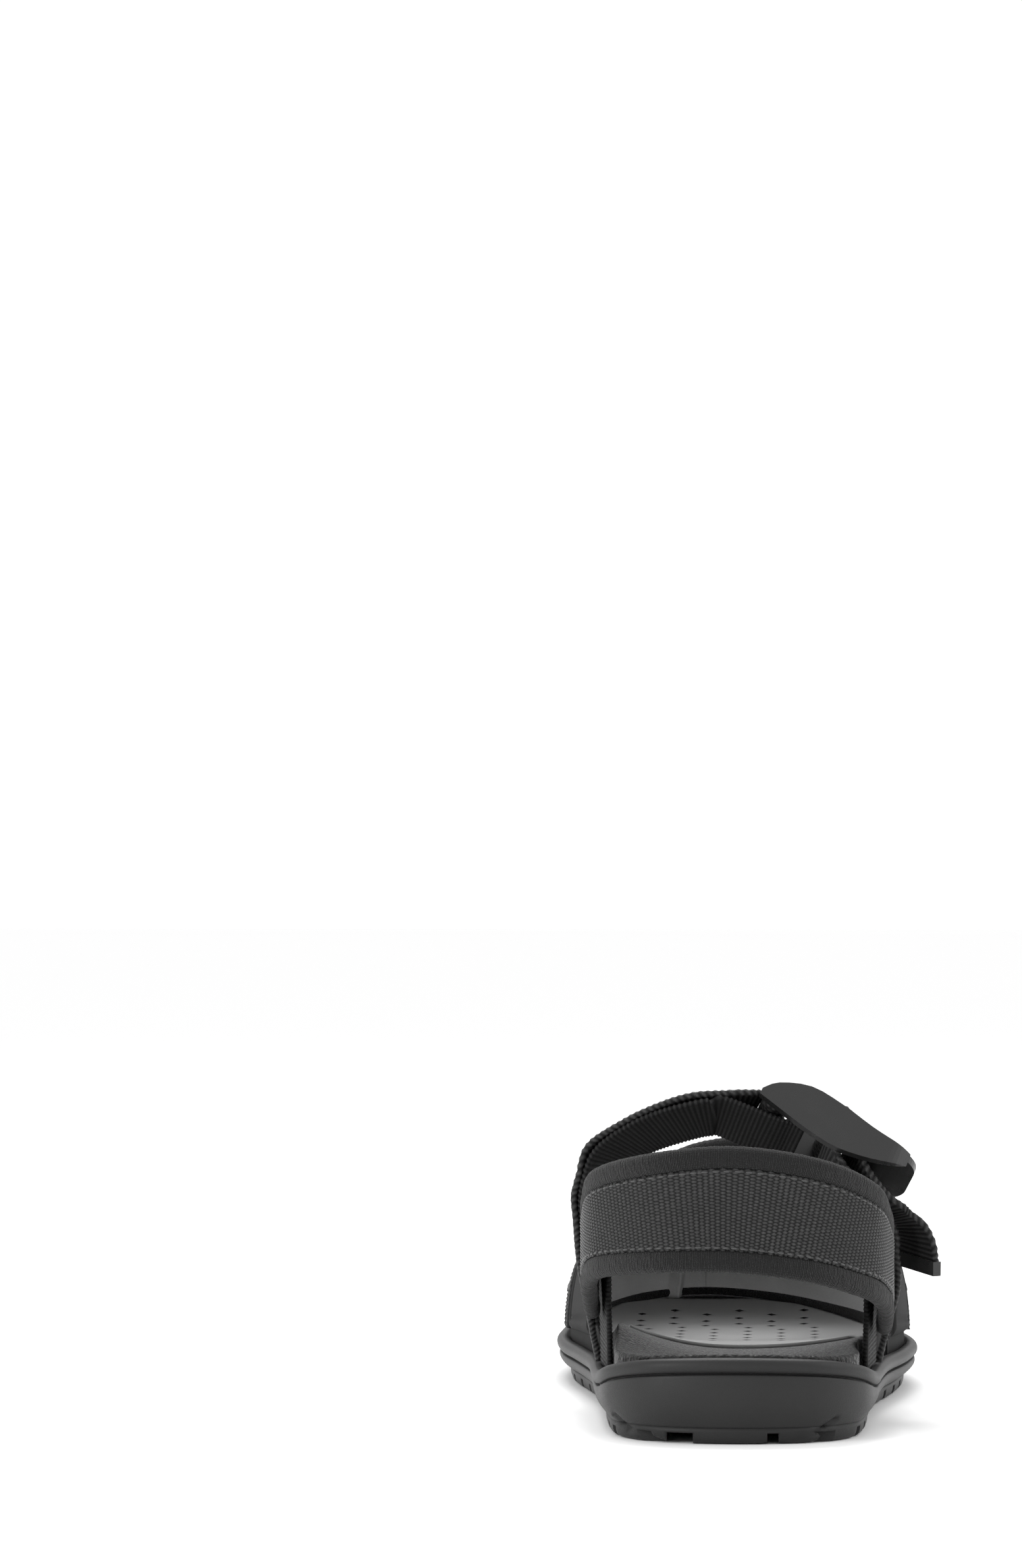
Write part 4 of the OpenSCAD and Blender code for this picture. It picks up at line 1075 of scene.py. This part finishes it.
def build_buckle_anchor():
    """Webbing from the sole to the loop bar."""
    refs = [unit(mix(np.array([0, 1, 0]), BUCKLE_REF, min(k / 13, 1))) for k in range(21)]
    piece = strip("buckle_anchor_shape", ANCHOR, refs, flat(STRAP_W / 2), flat(-WEB_T), flat(WEB_T),
                  lambda u, v, side: basket(u, v, -side), None, WEBBING,
                  ["buckle_anchor"], step=0.33, cell=0.33)
    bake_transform(piece)


TAIL_PIVOT = at(38.2, 88.6, 58.6)
TAIL_END = at(*np.array([(42.9, 90, 55.6), (47, 91, 53), (49, 91.6, 49), (49.2, 92, 44.5)]).T)


def build_tail():
    """Free end of the strap, which bends where the lead leaves the buckle."""
    root = buckle_at(LOOP_BAR[0] + BAR_R + WEB_T + 1, LOOP_BAR[1] - 1.8)
    lead = buckle_at(LOOP_BAR[0] + 10.6, LOOP_BAR[1] - 11)
    path = curve([root, lead, TAIL_PIVOT, *TAIL_END], 24)
    end_ref = np.array([-0.43, 0.85, 0.2])
    bend_ref = mix(BUCKLE_REF, end_ref, 0.3)
    refs = [unit(mix(BUCKLE_REF, bend_ref, max(k - 4, 0) / 3)) for k in range(8)]
    refs += [unit(mix(bend_ref, end_ref, k / 16)) for k in range(17)]
    piece = strip("strap_tail_shape", path, refs, flat(STRAP_W / 2), flat(0), flat(WEB_T), basket,
                  None, WEBBING, ["tail_lead", "strap_tail"], step=0.33, cell=0.33)
    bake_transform(piece)


def soften(node, finish, width, segments=3):
    """Keeps a CAD piece, rounds its edges and gives it its material."""
    piece = frame["nodes"][node]
    bevel = piece.modifiers.new("rounding", "BEVEL")
    bevel.width = width / MM
    bevel.segments = segments
    bevel.limit_method = "ANGLE"
    bevel.angle_limit = math.radians(30)
    bevel.harden_normals = True
    piece.data.materials.clear()
    piece.data.materials.append(finish)
    piece.data.polygons.foreach_set("use_smooth", np.ones(len(piece.data.polygons), bool))


# ---- stage ----------------------------------------------------------------------------------

FLOOR_SIZE, FLOOR_GREY, WORLD_LIGHT = 12, 0.97, 1.02
CAMERA_PLACE, CAMERA_YAW, CAMERA_LENS = (15.3, -1726, 177), 2.5, 148.2


def lamp(name, place, size, power, target=(0, 0, 0.04)):
    light = bpy.data.lights.new(name, "AREA")
    light.shape = "RECTANGLE"
    light.size, light.size_y = size
    light.energy = power
    holder = bpy.data.objects.new(name, light)
    holder.location = place
    holder.rotation_euler = (Vector(target) - Vector(place)).to_track_quat("-Z", "Y").to_euler()
    bpy.context.scene.collection.objects.link(holder)


def build_stage():
    bpy.ops.mesh.primitive_plane_add(size=FLOOR_SIZE)
    floor = bpy.context.object
    floor.name = "floor"
    floor.data.materials.append(plain("pale_floor", FLOOR_GREY))
    world = bpy.data.worlds.new("studio")
    world.use_nodes = True
    sky = world.node_tree.nodes["Background"]
    sky.inputs["Color"].default_value = (1, 1, 1, 1)
    sky.inputs["Strength"].default_value = WORLD_LIGHT
    bpy.context.scene.world = world
    lamp("top", (-0.1, 0.6, 1.15), (0.9, 0.7), 12)
    lamp("left", (-1.0, -0.9, 0.5), (0.4, 0.6), 7)
    lamp("right", (1.1, -0.1, 0.7), (0.4, 0.8), 3)
    # stands inside the toe, where no real lamp could, to light the forefoot sheet
    lamp("toe_fill", (0, 0.04, 0.046), (0.05, 0.09), 0.022, (0, 0.04, 0))
    bpy.context.scene.view_settings.view_transform = "Standard"


def build_camera():
    """The photograph's view: level, from behind the heel and a little from the outer side."""
    data = bpy.data.cameras.new("camera")
    data.sensor_fit = "VERTICAL"
    data.sensor_height = 36
    data.lens = CAMERA_LENS
    data.clip_end = 50
    camera = bpy.data.objects.new("camera", data)
    camera.location = at(*CAMERA_PLACE) / MM
    camera.rotation_euler = (math.radians(90), 0, math.radians(CAMERA_YAW))
    bpy.context.scene.collection.objects.link(camera)
    bpy.context.scene.camera = camera


build_camera()
build_stage()
build_midsole()
build_outsole()
build_footbed()
build_sheet()
build_vamp()
build_panels()
build_bumper()
build_forefoot_webbing()
build_throat_binding()
build_heel_strap()
build_heel_anchors()
build_instep_strap()
build_loops()
build_buckle_anchor()
build_tail()
soften("buckle_frame", ACETAL, 1.1, 4)
soften("buckle_hinge_bar", BARS, 0.3)
soften("buckle_loop_bar", BARS, 0.3)
soften("tail_tip", ACETAL, 0.5)
soften("shank", NYLON, 0.2)
